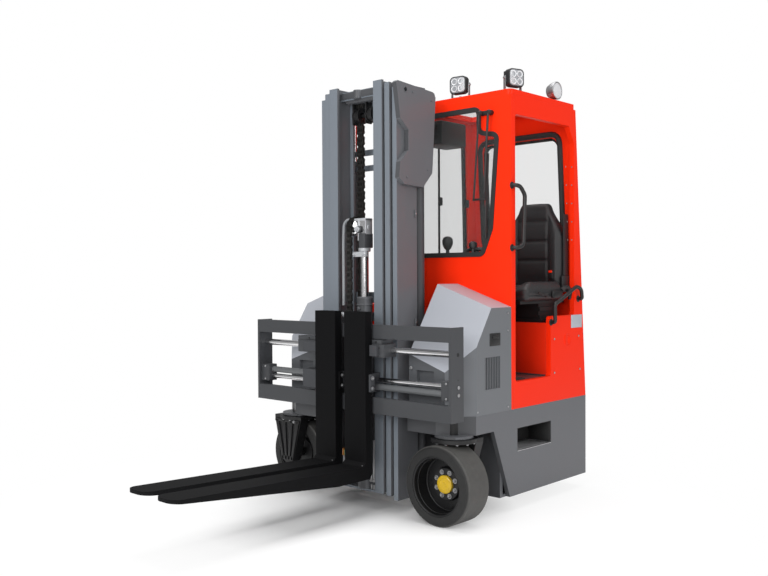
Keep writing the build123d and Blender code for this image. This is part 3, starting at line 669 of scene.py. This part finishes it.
    def finish(self, name, body, slot, *materials, sharp=0.65):
        """Turns the forms into one object that rides on a body."""
        for edge in self.bm.edges:
            if len(edge.link_faces) == 2:
                edge.smooth = edge.calc_face_angle(0) < sharp
        bmesh.ops.scale(self.bm, vec=(MM, MM, MM), verts=self.bm.verts[:])
        mesh = bpy.data.meshes.new(name)
        self.bm.to_mesh(mesh)
        self.bm.free()
        piece = add_object(name, mesh)
        coat(piece, *(MATERIALS[key] for key in materials))
        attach(piece, body)
        return piece


def smooth_route(points, bend, steps=6):
    """Rounds the corners of a route with arcs of about the bend's size."""
    route = [points[0]]
    for before, here, after in zip(points, points[1:], points[2:]):
        back, on = before - here, after - here
        reach = min(bend, back.length * 0.49, on.length * 0.49)
        start, end = here + back.normalized() * reach, here + on.normalized() * reach
        for i in range(steps + 1):
            t = i / steps
            route.append(start * (1 - t) ** 2 + here * (2 * t * (1 - t)) + end * t**2)
    return route + [points[-1]]


def rounded_outline(across, up, radius, steps=5):
    """Corners of a rectangle whose corners are round."""
    points = []
    left, right, low, high = across[0] + radius, across[1] - radius, up[0] + radius, up[1] - radius
    for quarter, (a, b) in enumerate(((right, high), (left, high), (left, low), (right, low))):
        for i in range(steps + 1):
            turn = math.pi / 2 * (quarter + i / steps)
            points.append((a + radius * math.cos(turn), b + radius * math.sin(turn)))
    return points


def rounded_block(low, high, cuts, radius, form):
    """A soft block: its surface net is rounded at the edges, then a form function moves each point."""
    bm = bmesh.new()
    low, high = Vector(low), Vector(high)
    middle = (low + high) / 2
    size = high - low
    bmesh.ops.create_cube(bm, size=1, matrix=Matrix.Translation(middle) @ Matrix.Diagonal((*size, 1)))
    bmesh.ops.subdivide_edges(bm, edges=bm.edges[:], cuts=cuts, use_grid_fill=True)
    inner_low, inner_high = low + Vector((radius,) * 3), high - Vector((radius,) * 3)
    for vertex in bm.verts:
        core = Vector(min(max(c, a), b) for c, a, b in zip(vertex.co, inner_low, inner_high))
        out = vertex.co - core
        vertex.co = core + out.normalized() * radius if out.length > 0.001 else vertex.co
        vertex.co = form(vertex.co.copy())
    shape = Shape()
    shape.bm.free()
    shape.bm = bm
    shape._mark(bm.faces, 0)
    return shape


def dip(distance, width):
    """1 in the middle of a sewn channel, falling to 0 at its sides."""
    return math.exp(-((distance / width) ** 2))


def ease(value, start, end):
    t = min(max((value - start) / (end - start), 0.0), 1.0)
    return t * t * (3 - 2 * t)


# Seat
SEAT_X = 445.0
BACK_FRONT = 1088.0
BACK_LOW = 1140.0
BACK_TOP = 1670.0
BACK_HALF = 200.0
BACK_THICKNESS = 85.0
CUSHION_Y = (700.0, 1087.0)
CUSHION_Z = (1105.0, 1200.0)
CUSHION_HALF = 210.0
CUSHION_MIDDLE_Y = 893.0
SEAT_CUTS = 56
PANEL_HALF = 103.0
BACK_CHANNELS = (1563.0, 1447.0, 1334.0)
CUSHION_CHANNELS = (800.0, 915.0, 1030.0)


def make_seat():
    def back_form(p):
        across = p.x - SEAT_X
        taper = 1 - 0.52 * ease(p.z, 1450, BACK_TOP) - 0.04 * ease(p.z, 1300, BACK_LOW)
        p.x = SEAT_X + across * taper
        across = abs(p.x - SEAT_X)
        front = ease(p.y, 1150, BACK_FRONT + 4)
        p.z -= 14 * (across / BACK_HALF) ** 2 * ease(p.z, 1560, BACK_TOP)
        panel = ease(p.z, 1200, 1250) * (1 - ease(p.z, 1600, 1640))
        bolster = ease(across, PANEL_HALF, PANEL_HALF + 45) * (1 - ease(across, 165, 200))
        p.y -= front * (26 * bolster * (1 - ease(p.z, 1470, 1600)) * ease(p.z, BACK_LOW, 1230) - 6)
        seam = dip(across - PANEL_HALF, 5) * panel
        if across < PANEL_HALF + 4:
            for level in BACK_CHANNELS:
                seam = max(seam, dip(p.z - level, 5))
            puff = abs(math.sin(math.pi * (p.z - 1334) / 114.5)) ** 0.5
            p.y -= front * 5 * puff * panel
        p.y += front * 9 * seam
        p.y += 10 * ease(p.z, 1400, BACK_TOP) * front
        return p

    low = (SEAT_X - BACK_HALF, BACK_FRONT, BACK_LOW)
    high = (SEAT_X + BACK_HALF, BACK_FRONT + BACK_THICKNESS, BACK_TOP)
    back = rounded_block(low, high, SEAT_CUTS, 30, back_form)
    piece = back.finish("seat_back_cover", "truck", "seat_vinyl", "vinyl", sharp=3.0)
    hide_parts("seat_back")

    def cushion_form(p):
        across = abs(p.x - SEAT_X)
        top = ease(p.z, CUSHION_Z[0] + 30, CUSHION_Z[1])
        crown = 1 - ease(across, 120, 210)
        bolster = ease(across, PANEL_HALF + 10, PANEL_HALF + 55) * (1 - ease(across, 180, 210))
        nose = ease(p.y, CUSHION_Y[0] + 90, CUSHION_Y[0])
        p.z += top * (14 * bolster * (1 - nose) - 8 * crown - 16 * nose)
        seam = dip(across - PANEL_HALF - 4, 5) * ease(p.y, CUSHION_Y[0] + 20, CUSHION_Y[0] + 70)
        if across < PANEL_HALF + 6:
            for place in CUSHION_CHANNELS:
                seam = max(seam, dip(p.y - place, 5))
        p.z -= top * 8 * seam
        p.y += 10 * (across / CUSHION_HALF) ** 2 * nose
        side = dip(p.z - (CUSHION_Z[0] + 34), 5)
        out = Vector((p.x - SEAT_X, p.y - CUSHION_MIDDLE_Y, 0))
        edge = ease(max(across / CUSHION_HALF, abs(out.y) / 193), 0.93, 0.99)
        p -= out.normalized() * 5 * side * edge
        return p

    low = (SEAT_X - CUSHION_HALF, CUSHION_Y[0], CUSHION_Z[0])
    high = (SEAT_X + CUSHION_HALF, CUSHION_Y[1], CUSHION_Z[1])
    cushion = rounded_block(low, high, SEAT_CUTS, 34, cushion_form)
    piece = cushion.finish("seat_cushion_cover", "truck", "seat_vinyl", "vinyl", sharp=3.0)
    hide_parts("seat_cushion")

    fittings = Shape()
    # Belt reel, its webbing and the buckle with a red button
    fittings.box((640, 655), (1086, 1168), (1150, 1245), 6)
    fittings.box((646, 652), (1098, 1150), (1245, 1600), 0.8)
    fittings.tube([(590, 1092, 1160), (592, 1084, 1205), (588, 1078, 1236)], 7, 10)
    fittings.box((572, 604), (1060, 1080), (1226, 1272), 5)
    fittings.box((577, 599), (1056, 1063), (1262, 1275), 2, 1)
    # Slide and tilt levers at the seat's door side
    fittings.tube([(640, 900, 1128), (668, 905, 1132), (672, 850, 1140), (672, 800, 1150)], 6, 14)
    fittings.box((650, 668), (960, 1065), (1120, 1160), 5)
    fittings.tube([(655, 1070, 1160), (664, 1110, 1185), (664, 1150, 1160), (655, 1165, 1110)], 13, 26)
    fittings.finish("seat_fittings", "truck", "black_plastic", "plastic", "red")


# Wheels
TYRE_RADIUS = 202.0
WHEELS = (
    # name, body of the wheel, body of its leg, centre x, centre y, way the open face looks
    ("right", "wheel_right", "leg_right", 576.0, 98.5, -1),
    ("left", "wheel_left", "leg_left", -576.0, 221.5, 1),
)
KINGPIN_Y = 160.0
LEG_FACE = 95.5
WHEEL_BOLTS = 8
BOLT_CIRCLE = 62.5
PLATE_BOLTS = 12
PLATE_BOLT_RADIUS = 107.0


def spokes(count, start):
    """Directions around a wheel, from a start in degrees."""
    for i in range(count):
        turn = math.radians(360 / count * i + start)
        yield Vector((math.cos(turn), 0, math.sin(turn)))


def make_wheels():
    for name, wheel, leg, x, y, way in WHEELS:
        centre = Vector((x, y, TYRE_RADIUS))
        out = Vector((0, way, 0))
        cap = Shape()
        profile = [(8, 46), (21, 46), (24, 43), (26, 30), (23, 28), (22.5, 12), (25, 10), (25.5, 0.01)]
        cap.lathe(profile, centre, out, 48)
        for spoke in spokes(6, 30):
            cap.rod(centre + spoke * 37 + out * 22, centre + spoke * 37 + out * 27, 4, 10, 0.8)
        cap.finish(f"hub_cap_{name}", wheel, "cast_black", "yellow")
        nuts = Shape()
        for spoke in spokes(WHEEL_BOLTS, 22.5):
            stud = centre + spoke * BOLT_CIRCLE
            nuts.bolt(stud + out * 8, out, 15)
            nuts.rod(stud + out * 10, stud + out * 22, 4.5, 12, 0.8)
        nuts.finish(f"wheel_nuts_{name}", wheel, "chrome_rod", "steel")
        rim = Shape()
        # Rolled lip of the rim and the weld ring in its dish
        rim.ring(centre + out * 84, Y, 146, 5, 64)
        rim.ring(centre + out * 60, Y, 138.5, 3, 64)
        rim.ring(centre - out * 12, Y, 137, 6, 64)
        for spoke in spokes(4, 8):
            rim.rod(centre + spoke * 112 - out * 14, centre + spoke * 112 - out * 10.5, 13, 24, 0.8)
        rim.finish(f"rim_rings_{name}", wheel, "cast_black", "cast")
        bolts = Shape()
        for spoke in spokes(PLATE_BOLTS, 180 / PLATE_BOLTS):
            across, along = x + PLATE_BOLT_RADIUS * spoke.x, KINGPIN_Y + PLATE_BOLT_RADIUS * spoke.z
            bolts.bolt((across, along, 410), -Z, 10.5)
        bolts.finish(f"turntable_bolts_{name}", leg, "chrome_rod", "steel")
        casting = Shape()
        # Raised bars on the leg's outer face, with slots between them
        face = KINGPIN_Y - way * LEG_FACE
        for top, foot, width in ((-88, -36, 26), (-28, -10, 24), (36, 14, 24), (90, 38, 24)):
            outline = [(x + top - width / 2, 402), (x + top + width / 2, 402),
                       (x + foot + width / 3, 172), (x + foot - width / 3, 172)]
            casting.plate(outline, face, -way * 9, 2.5)
        casting.box((x - 104, x + 104), sorted((face, face - way * 9)), (392, 409), 2.5)
        casting.box((x - 46, x + 46), sorted((face, face - way * 9)), (172, 196), 2.5)
        casting.bolt((x + 62, face - way * 9, 400), (0, -way, 0), 10, 1)
        casting.finish(f"leg_ribs_{name}", leg, "cast_black", "cast", "steel")


# Work lamps on the roof
ROOF_TOP = 2230.0


def square_lamp(shape, x, y, turn):
    """A square lamp with four cells behind its lens, cooling fins and a bracket. It looks to -Y."""
    start = set(shape.bm.verts)
    shape.plate(rounded_outline((-51, 51), (22, 119), 24), 0, -38, 3)
    shape.plate(rounded_outline((-44, 44), (29, 112), 18), -37, -2.4, 0.5, 3)
    cell = [(-2.2, 0.01), (-1.6, 6), (0.8, 15), (2.6, 17.5), (1.0, 18.6)]
    for across in (-20.5, 20.5):
        for up in (51, 90):
            shape.lathe(cell, (across, -39.2, up), -Y, 24, 1)
    for i in range(7):
        shape.box((-44 + i * 13.4, -40 + i * 13.4), (0, 17), (32, 109), 0.8)
    for side in (-1, 1):
        shape.box(sorted((side * 51, side * 55)), (-14, 6), (8, 84), 1, 2)
        shape.bolt((side * 55, -4, 72), (side, 0, 0), 11, 2)
    shape.box((-55, 55), (-14, 6), (4, 9), 1, 2)
    shape.rod((0, -4, 0), (0, -4, 13), 8, 16, 1, 2)
    new = [vertex for vertex in shape.bm.verts if vertex not in start]
    place = Matrix.Translation((x, y, ROOF_TOP)) @ Matrix.Rotation(math.radians(turn), 4, "Z")
    bmesh.ops.transform(shape.bm, matrix=place, verts=new)


def make_lamps():
    shape = Shape()
    square_lamp(shape, 325, 562, 8)
    square_lamp(shape, 630, 610, 72)
    # Round lamp on its stalk, looking out of the door side
    centre = Vector((636, 1010, ROOF_TOP + 62))
    bowl = [(-34, 0.01), (-33, 18), (-24, 34), (0, 46), (22, 50), (30, 50), (31, 47), (29, 45)]
    shape.lathe(bowl, centre, X, 40, 2)
    shape.lathe([(28.5, 45), (29.5, 30), (30.2, 0.01)], centre, X, 40, 1)
    shape.ring(centre + X * 30, X, 47, 3.2, 40, 2)
    shape.box((616, 636), (1000, 1020), (ROOF_TOP - 1, ROOF_TOP + 22), 3)
    shape.box((610, 656), (992, 1028), (ROOF_TOP, ROOF_TOP + 6), 2)
    piece = shape.finish(
        "work_lamp_set", "truck", "black_plastic",
        "plastic", "reflector", "steel", "lamp_lens",
    )
    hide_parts("work_lamps")


# Wiper in front of the window
WIPER_Y = 484.0


def make_wiper():
    shape = Shape()
    for x, z in ((509, 2118), (567, 2116)):
        shape.rod((x, 512, z), (x, WIPER_Y - 6, z), 14, 24, 3)
        shape.rod((x, WIPER_Y - 4, z), (x, WIPER_Y - 14, z), 10, 20, 2)
    shape.box((500, 576), (WIPER_Y + 8, 513), (2106, 2129), 4)
    shape.tube([(509, WIPER_Y - 8, 2110), (503, WIPER_Y - 8, 2050), (472, WIPER_Y - 8, 1660)], 5.5, 60)
    shape.tube([(567, WIPER_Y - 8, 2110), (562, WIPER_Y - 8, 2040), (541, WIPER_Y - 8, 1690)], 6.5, 60)
    shape.box((466, 548), (WIPER_Y - 12, WIPER_Y - 4), (1650, 1662), 2)
    shape.rod((541, WIPER_Y - 12, 1690), (541, WIPER_Y + 4, 1656), 7, 16, 1)
    shape.tube([(552, WIPER_Y + 6, 1880), (543, WIPER_Y + 6, 1660), (536, WIPER_Y + 6, 1470)], 4.5, 60)
    shape.tube([(553, WIPER_Y + 13, 1900), (544, WIPER_Y + 13, 1660), (535, WIPER_Y + 13, 1450)], 5.5, 60)
    piece = shape.finish("wiper_arms", "truck", "black_plastic", "plastic")
    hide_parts("wiper")


# Chains: plates on pins, two pitches of plates side by side
CHAIN_PITCH = 30
LINK = ((-0.42, 0.0), (-0.1, 0.5), (0.5, 0.36), (1.1, 0.5), (1.42, 0.0))


def chain_run(shape, width, start, end, height):
    """Leaf chain from one point to another in a plane of constant x."""
    start, end = Vector(start), Vector(end)
    way = end - start
    count = max(1, round(way.length / CHAIN_PITCH))
    step = way / count
    thick = step.normalized().cross(X)
    plates = 4
    leaf = width / (plates * 2 - 1)
    for i in range(count + 1):
        pin = start + step * i
        shape.rod(pin - X * width / 2, pin + X * width / 2, height * 0.24, 8)
        if i == count:
            continue
        for k in range(plates * 2 - 1):
            if (k + i) % 2:
                continue
            inset = X * (k * leaf - width / 2)
            outline = [pin + step * along + thick * height * half for along, half in LINK]
            outline += [pin + step * along - thick * height * half for along, half in reversed(LINK[1:-1])]
            shape.push([place + inset for place in outline], X * leaf * 0.96)
    bmesh.ops.recalc_face_normals(shape.bm, faces=shape.bm.faces[:])


def make_chains():
    shape = Shape()
    chain_run(shape, 44, (-57, 154, 120), (-57, 154, 2190), 22)
    piece = shape.finish("mast_leaf_chain", "inner_stage", "steel_chain", "chain", sharp=0.3)
    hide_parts("mast_chain")
    shape = Shape()
    for y in (18, 122):
        chain_run(shape, 30, (-18, y, 640), (-18, y, 1512), 20)
    steps = 6
    arc = [
        (-18, 70 - 52 * math.cos(math.pi * i / steps), 1512 + 52 * math.sin(math.pi * i / steps))
        for i in range(steps + 1)
    ]
    for here, there in zip(arc, arc[1:]):
        chain_run(shape, 30, here, there, 20)
    piece = shape.finish("carriage_leaf_chain", "lift_head", "steel_chain", "chain", sharp=0.3)
    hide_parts("carriage_chain")


# Mast fittings
HOSE_Y = 222


def make_lift_head():
    head = Shape()
    # Yoke over the chain sheave on the free-lift rod, with its straps and pulley bolt
    head.box((-44, 78), (40, 100), (1545, 1560), 4)
    head.box((-46, -40), (48, 92), (1470, 1558), 2)
    head.box((26, 33), (36, 100), (1440, 1558), 2)
    head.box((34, 78), (34, 104), (1400, 1479), 5, 1)
    head.box((70, 78), (44, 98), (1470, 1556), 2)
    head.rod((-48, 70, 1512), (82, 70, 1512), 13, 20, 2)
    head.rod((33, 40, 1500), (33, 24, 1500), 19, 24, 3, 1)
    head.bolt((33, 24, 1500), -Y, 20)
    head.rod((45, 70, 1380), (45, 70, 1402), 33, 32, 3)
    head.box((0, 92), (22, 46), (1352, 1380), 4)
    for x in (14, 78):
        head.bolt((x, 22, 1366), -Y, 13)
    hose = [(-30, 44, 1552), (-52, 40, 1556), (-78, 40, 1535), (-84, 40, 1440), (-84, 40, 1090)]
    head.tube(hose, 8, 40, 14, 2)
    head.finish("lift_head_yoke", "lift_head", "chrome_rod", "silver", "dark", "hose_grey")

    gland = Shape()
    gland.lathe([(0, 44), (10, 44), (16, 38), (16, 22.6)], (45, 70, 1122), Z, 40)
    gland.rod((45, 70, 1090), (45, 70, 1100), 45, 40, 2)
    gland.rod((45, 28, 1075), (45, 14, 1075), 9, 16, 2)
    gland.finish("free_lift_gland", "inner_stage", "grey_paint", "grey")


def make_mast_top():
    top = Shape()
    # Saddle with its boss under the top bar, and the dark sheaves and hook behind it
    top.box((-160, 160), (94, 101), (2222, 2258), 3)
    top.rod((-26, 100, 2214), (-26, 100, 2262), 26, 32, 3)
    top.box((-120, 120), (100, 150), (2196, 2216), 6)
    for x in (-57, 40):
        top.lathe([(-22, 20), (-22, 44), (-17, 44), (-14, 36), (14, 36), (17, 44), (22, 44), (22, 20)],
                  (x, 150, 2128), X, 32, 1)
    top.rod((-90, 150, 2128), (90, 150, 2128), 11, 16, 2, 1)
    for x in (-88, 8, 74):
        top.box((x, x + 8), (118, 168), (2080, 2200), 3, 1)
    top.finish("mast_top_sheaves", "inner_stage", "dark_paint", "grey", "cast")

    hook = Shape()
    bend = ((20, 1990), (20, 1900), (4, 1850), (14, 1800), (38, 1822))
    hook.tube([(x, HOSE_Y, z) for x, z in bend], 7, 24)
    hook.box((4, 36), (218, 233), (1940, 2000), 3)
    hook.finish("hose_hook", "mast", "cast_black", "cast")

    hoses = Shape()
    first = ((68, 2200), (68, 2100), (70, 1400), (74, 640))
    second = ((92, 2200), (92, 2090), (94, 1300), (96, 620))
    for route in (first, second):
        hoses.tube([(x, HOSE_Y, z) for x, z in route], 6.5, 40)
    for z in (1938, 1842, 890):
        hoses.box((56, 108), (214, 233), (z, z + 16), 2)
    hoses.finish("mast_hoses", "mast", "black_plastic", "rubber")


def make_mast_foot_and_sides():
    feet = Shape()
    # Stops and their screws at the rails' feet, and the caps on the couplings between the forks
    for x in (-107, -90):
        feet.rod((x, 62, 176), (x, 62, 262), 8, 16, 1, 3)
    feet.rod((-107, 62, 262), (-107, 62, 300), 13, 20, 3, 1)
    feet.rod((-90, 62, 262), (-90, 62, 296), 13, 20, 3, 2)
    feet.box((-126, -70), (50, 78), (107, 176), 4)
    for x, z in ((98, 150), (116, 150), (98, 330), (116, 330)):
        feet.rod((x, 60, 107), (x, 60, z + 40), 7, 14, 1, 3)
        feet.bolt((x, 60, z), Z, 18, 3)
    feet.box((90, 125), (48, 72), (132, 146), 3)
    feet.finish("mast_foot_fittings", "inner_stage", "dark_paint", "dark", "orange", "green", "steel")

    cover = Shape()
    cover.ring((305.4, 111, 2221), X, 13, 1.6, 28)
    for y, z in ((170, 2215), (325, 2190), (120, 1765), (290, 1815)):
        cover.cap_screw((305, y, z), X, 6)
    cover.finish("mast_cover_screws", "mast", "grey_paint", "grey", "cast")

    clips = Shape()
    for z in (420, 980, 1560):
        clips.box((277, 283), (208, 226), (z, z + 40), 1.5)
        clips.cap_screw((283, 217, z + 20), X, 5, 1)
    clips.mirror_x()
    clips.finish("outer_rail_clips", "mast", "grey_paint", "grey", "steel")

    tops = Shape()
    tops.rod((240, 285, 1896), (240, 285, 1906), 34.9, 32, 2)
    tops.mirror_x()
    tops.finish("lift_cylinder_glands", "mast", "dark_paint", "dark")


# Carriage and forks
def make_carriage_fittings():
    shape = Shape()
    for z in (706, 668):
        shape.cap_screw((715, 12.5, z), X, 9)
        shape.cap_screw((-715, 12.5, z), -X, 9)
    shape.rod((714.6, 12.5, 742), (715.4, 12.5, 742), 4, 12, 0, 1)
    shape.rod((714.6, 12.5, 865), (715.4, 12.5, 865), 10, 20, 0.3, 1)
    shape.finish("carriage_end_screws", "carriage", "chrome_rod", "steel", "cast")

    shape = Shape()
    # Holders of the twin rods at the carriage's ends, with their clamp screws
    for side in (1, -1):
        shape.box(sorted((side * 636, side * 641)), (-22, 36), (644, 731), 2)
        for z in (724, 650):
            shape.cap_screw((side * 670, -24, z), -Y, 6, 1)
    # Hooks that carry the chain, seen above the upper bar
    for x in (-66, 30):
        shape.tube([(x, -10, 985), (x, -10, 1030), (x + 22, -10, 1052), (x + 34, -10, 1030)], 9, 18, 12, 2)
        shape.box((x - 14, x + 14), (-16, 4), (985, 1012), 3)
    shape.finish("rod_holders", "carriage", "dark_paint", "dark", "steel", "silver")

    blocks = (
        # body, x of the bearing block, x of the plate on the fork's side, fork centre
        ("fork_right", (149, 292), 212, 136.5),
        ("fork_left", (-352, -149), -7, -82.5),
    )
    for body, x, side, centre in blocks:
        block = Shape()
        block.box(x, (-56, 42), (830, 898), 3)
        block.box((x[0], x[1] - 18), (-54, 40), (898, 920), 3)
        block.cap_screw((x[0] + 90, -54, 909), -Y, 5, 1)
        block.cap_screw((x[1] - 30, -56, 880), -Y, 4, 1)
        block.finish(f"bearing_block_{body}", body, "dark_paint", "dark", "cast")
        clamp = Shape()
        clamp.box((side - 2, side + 9), (-84, -44), (650, 742), 3)
        for z in (722, 668):
            clamp.bolt((side + 9, -64, z), X, 13, 1)
        clamp.cap_screw((centre + 62, -116, 270), Z, 7, 1)
        clamp.finish(f"clamp_plate_{body}", body, "fork_black", "fork", "steel")


# Body and cab fittings
SIDE = 686.0


def rear_face(z):
    """Where the cab's leaning rear wall has its inner face."""
    return 1287.5 - 30 - 115.0 * (z - 540) / 1690


def make_outer_fittings():
    shape = Shape()
    # Blank plate, plain ring and screws on the panel below the door
    shape.box((SIDE - 0.5, SIDE + 1.2), (1122, 1244), (943, 1018), 0.5, 1)
    for radius, wire, sides in ((34, 2.0, 48), (22, 1.6, 40)):
        shape.ring((SIDE + 0.2, 1078, 876), X, radius, wire, sides)
    for y, z in ((940, 889), (1206, 894), (940, 700), (1220, 700)):
        shape.cap_screw((SIDE, y, z), X, 6, 2)
    # Rivets up the rear post inside the doorway
    for z in (1451, 1556, 1662, 1767, 1872):
        shape.cap_screw((656.4, 1140 + (1451 - z) * 0.05, z), -X, 4, 2)
        shape.cap_screw((671, 1157.8, z), -Y, 4, 2)
    shape.finish("side_panel_fittings", "truck", "red_paint", "red", "plate", "steel")

    rails = Shape()
    out = SIDE + 27
    for route in (
        [(SIDE - 1, 520, 1722), (out, 520, 1722), (out, 562, 1716), (out, 603, 1675), (out, 588, 1412),
         (out, 556, 1396), (out, 520, 1394), (SIDE - 1, 520, 1394)],
        [(SIDE - 1, 905, 985), (out, 905, 985), (out, 903, 1085), (out, 1140, 1183), (out, 1192, 1165),
         (out, 1201, 1110), (SIDE - 1, 1201, 1110)],
    ):
        rails.tube(route, 11, 16, 16)
        for place in (route[0], route[-1]):
            rails.rod(place, Vector(place) + X * 5, 19, 24, 1.5)
    piece = rails.finish("bent_grab_rails", "truck", "black_plastic", "plastic")
    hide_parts("grab_rails")

    seal = Shape()
    # Broad rubber around the rear window, on the wall's inner face
    corners = [(27, 1406), (595, 1406), (595, 2074), (27, 2074)]
    route = [(311, 1406)] + [corners[i] for i in (1, 2, 3, 0)] + [(311, 1406)]
    seal.tube([(x, rear_face(z) - 2, z) for x, z in route], 17, 70, 12)
    seal.finish("rear_window_rubber", "truck", "seal_rubber", "rubber")

    shape = Shape()
    # Recessed latch and its dark well in the wing's side
    shape.box((SIDE - 2, SIDE + 2.5), (316, 410), (886, 952), 3)
    shape.box((SIDE + 1, SIDE + 3.2), (328, 398), (896, 936), 2, 1)
    shape.box((SIDE + 2, SIDE + 9), (336, 392), (925, 940), 3)
    shape.finish("wing_latch", "truck", "black_plastic", "plastic", "cast")

    shape = Shape()
    # Screws along the wings' edges, and a plug at the front recess
    for y, z in ((210, 560), (480, 560), (480, 960), (480, 1050)):
        shape.cap_screw((SIDE, y, z), X, 5)
    for x in (360, 450, 540):
        shape.cap_screw((x, 92.5, 560), -Y, 5)
    shape.rod((352, 94, 772), (352, 84, 772), 9, 20, 2)
    shape.mirror_x()
    shape.finish("wing_screws", "truck", "chrome_rod", "steel")

    shape = Shape()
    # Tread plate in the step box, with raised bars
    shape.box((545, SIDE + 1), (568, 903), (311, 315), 1)
    for i in range(8):
        shape.box((560 + i * 15, 566 + i * 15), (585, 886), (315, 318), 1)
    shape.finish("step_tread", "truck", "chrome_rod", "alloy")

    shape = Shape()
    # Painted shade: black sheets on the step box's back, its two ends and its top stand in for the shade
    # inside it
    shape.box((537, 540), (569, 902), (318, 434), 0.5)
    for y in (568, 900):
        shape.box((540, SIDE - 4), (y, y + 3), (318, 434), 0.5)
    shape.box((540, SIDE - 4), (571, 900), (431.5, 434.5), 0.5)
    shape.finish("step_painted_shade_sheets", "truck", "black_plastic", "rubber")


def make_cab_interior():
    shape = Shape()
    # Floor mat with ribs, and two pedals
    shape.box((340, 652), (548, 696), (683, 689), 2)
    for i in range(18):
        shape.box((350 + i * 16.6, 357 + i * 16.6), (556, 690), (689, 692), 1)
    for x in ((372, 440), (470, 530)):
        shape.box(x, (580, 668), (690, 716), 6, 1, (12, "X"))
    shape.finish("floor_mat_and_pedals", "truck", "black_plastic", "rubber", "cast")

    shape = Shape()
    # The left wall's sliding window: its middle stile and two latches
    shape.box((-46, -38), (820, 834), (1352, 2096), 2)
    for y in (806, 1076):
        shape.box((-34, -16), (y, y + 26), (1672, 1722), 5)
    shape.finish("left_window_stile", "truck", "black_plastic", "plastic")

    shape = Shape()
    # Heater box under the roof and the dark lining
    shape.box((-30, 128), (640, 880), (2010, 2150), 14)
    for i in range(8):
        shape.box((-20, 118), (637, 641), (2030 + i * 13, 2035 + i * 13), 1)
    shape.box((-34, 656), (543, 598), (2150, 2199), 8)
    shape.finish("roof_heater_box", "truck", "black_plastic", "plastic")

    shape = Shape()
    # Steering wheel on its column, and the console's controls
    centre, tilt = Vector((452, 632, 1352)), Vector((0, 0.34, 0.94)).normalized()
    shape.ring(centre, tilt, 120, 11, 48)
    shape.lathe([(-14, 0.01), (-14, 30), (2, 34), (10, 26), (12, 0.01)], centre, tilt, 28)
    for turn in (90, 210, 330):
        spoke = Matrix.Rotation(math.radians(turn), 3, tilt) @ tilt.orthogonal().normalized()
        shape.rod(centre + spoke * 20, centre + spoke * 118, 7, 12)
    knob = centre + Vector((-13, -118, 44))
    shape.rod(knob - Z * 26, knob, 10, 16, 2)
    shape.lathe([(-4, 0.01), (0, 17), (14, 24), (30, 22), (38, 10), (40, 0.01)], knob, Z, 24)
    shape.rod(centre - tilt * 8, centre - tilt * 330, 24, 24)
    shape.box((410, 494), (548, 640), (700, 1060), 12)
    shape.finish("steering_wheel", "truck", "black_plastic", "plastic")

    shape = Shape()
    # Control lever with its boot, buttons and a small display
    boot = [(0, 26), (8, 24), (14, 27), (20, 20), (26, 23), (34, 14), (40, 11)]
    shape.lathe(boot, (190, 610, 1340), Z, 28)
    handle = [(-24, 10), (-14, 20), (6, 29), (30, 31), (46, 25), (54, 12), (56, 0.01)]
    shape.lathe(handle, (190, 610, 1418), Z, 28)
    for i in range(3):
        shape.rod((100, 575 + i * 26, 1339), (100, 575 + i * 26, 1349), 8, 16, 2, 1 if i == 0 else 2)
    shape.box((240, 320), (562, 640), (1338, 1346), 3)
    shape.box((248, 312), (570, 632), (1346, 1348), 1, 3)
    shape.finish("console_controls", "truck", "black_plastic", "plastic", "red", "green", "lamp_lens")


def make_rear_fittings():
    shape = Shape()
    # Two lamps and a blank service cover
    for x in (-600, 600):
        shape.box((x - 34, x + 34), (1286, 1302), (600, 680), 6)
        for z, lens in ((620, 1), (660, 2)):
            shape.lathe([(0, 26), (6, 26), (10, 20), (12, 0.01)], (x, 1302, z), Y, 28, lens)
    shape.box((-260, 260), (1286.5, 1290.5), (190, 440), 2, 3)
    for x, z in ((-245, 205), (245, 205), (-245, 425), (245, 425)):
        shape.cap_screw((x, 1290, z), Y, 7, 4)
    shape.finish("rear_fittings", "truck", "black_plastic", "plastic", "red", "orange", "grey", "steel")

    shape = Shape()
    # The battery hood's handles, hinges and slots
    for y in (640, 1060):
        ends = ((-SIDE, -60), (-SIDE - 20, -60), (-SIDE - 20, 60), (-SIDE, 60))
        shape.tube([(x, y + along, 1000) for x, along in ends], 7, 12, 12)
    for y in (620, 900, 1180):
        shape.box((-140, -66), (y - 24, y + 24), (1080, 1086), 2)
        shape.rod((-70, y - 26, 1086), (-70, y + 26, 1086), 7, 14, 1)
    for i in range(12):
        for z in (640, 670, 700):
            shape.box((-690, -685), (660 + i * 40, 686 + i * 40), (z, z + 6), 1)
    shape.finish("battery_hood_fittings", "truck", "black_plastic", "plastic")


set_camera()
set_stage()
finish_cad_nodes()
make_seat()
make_wheels()
make_lamps()
make_wiper()
make_chains()
make_lift_head()
make_mast_top()
make_mast_foot_and_sides()
make_carriage_fittings()
make_outer_fittings()
make_cab_interior()
make_rear_fittings()

bpy.context.scene.view_settings.view_transform = "Standard"
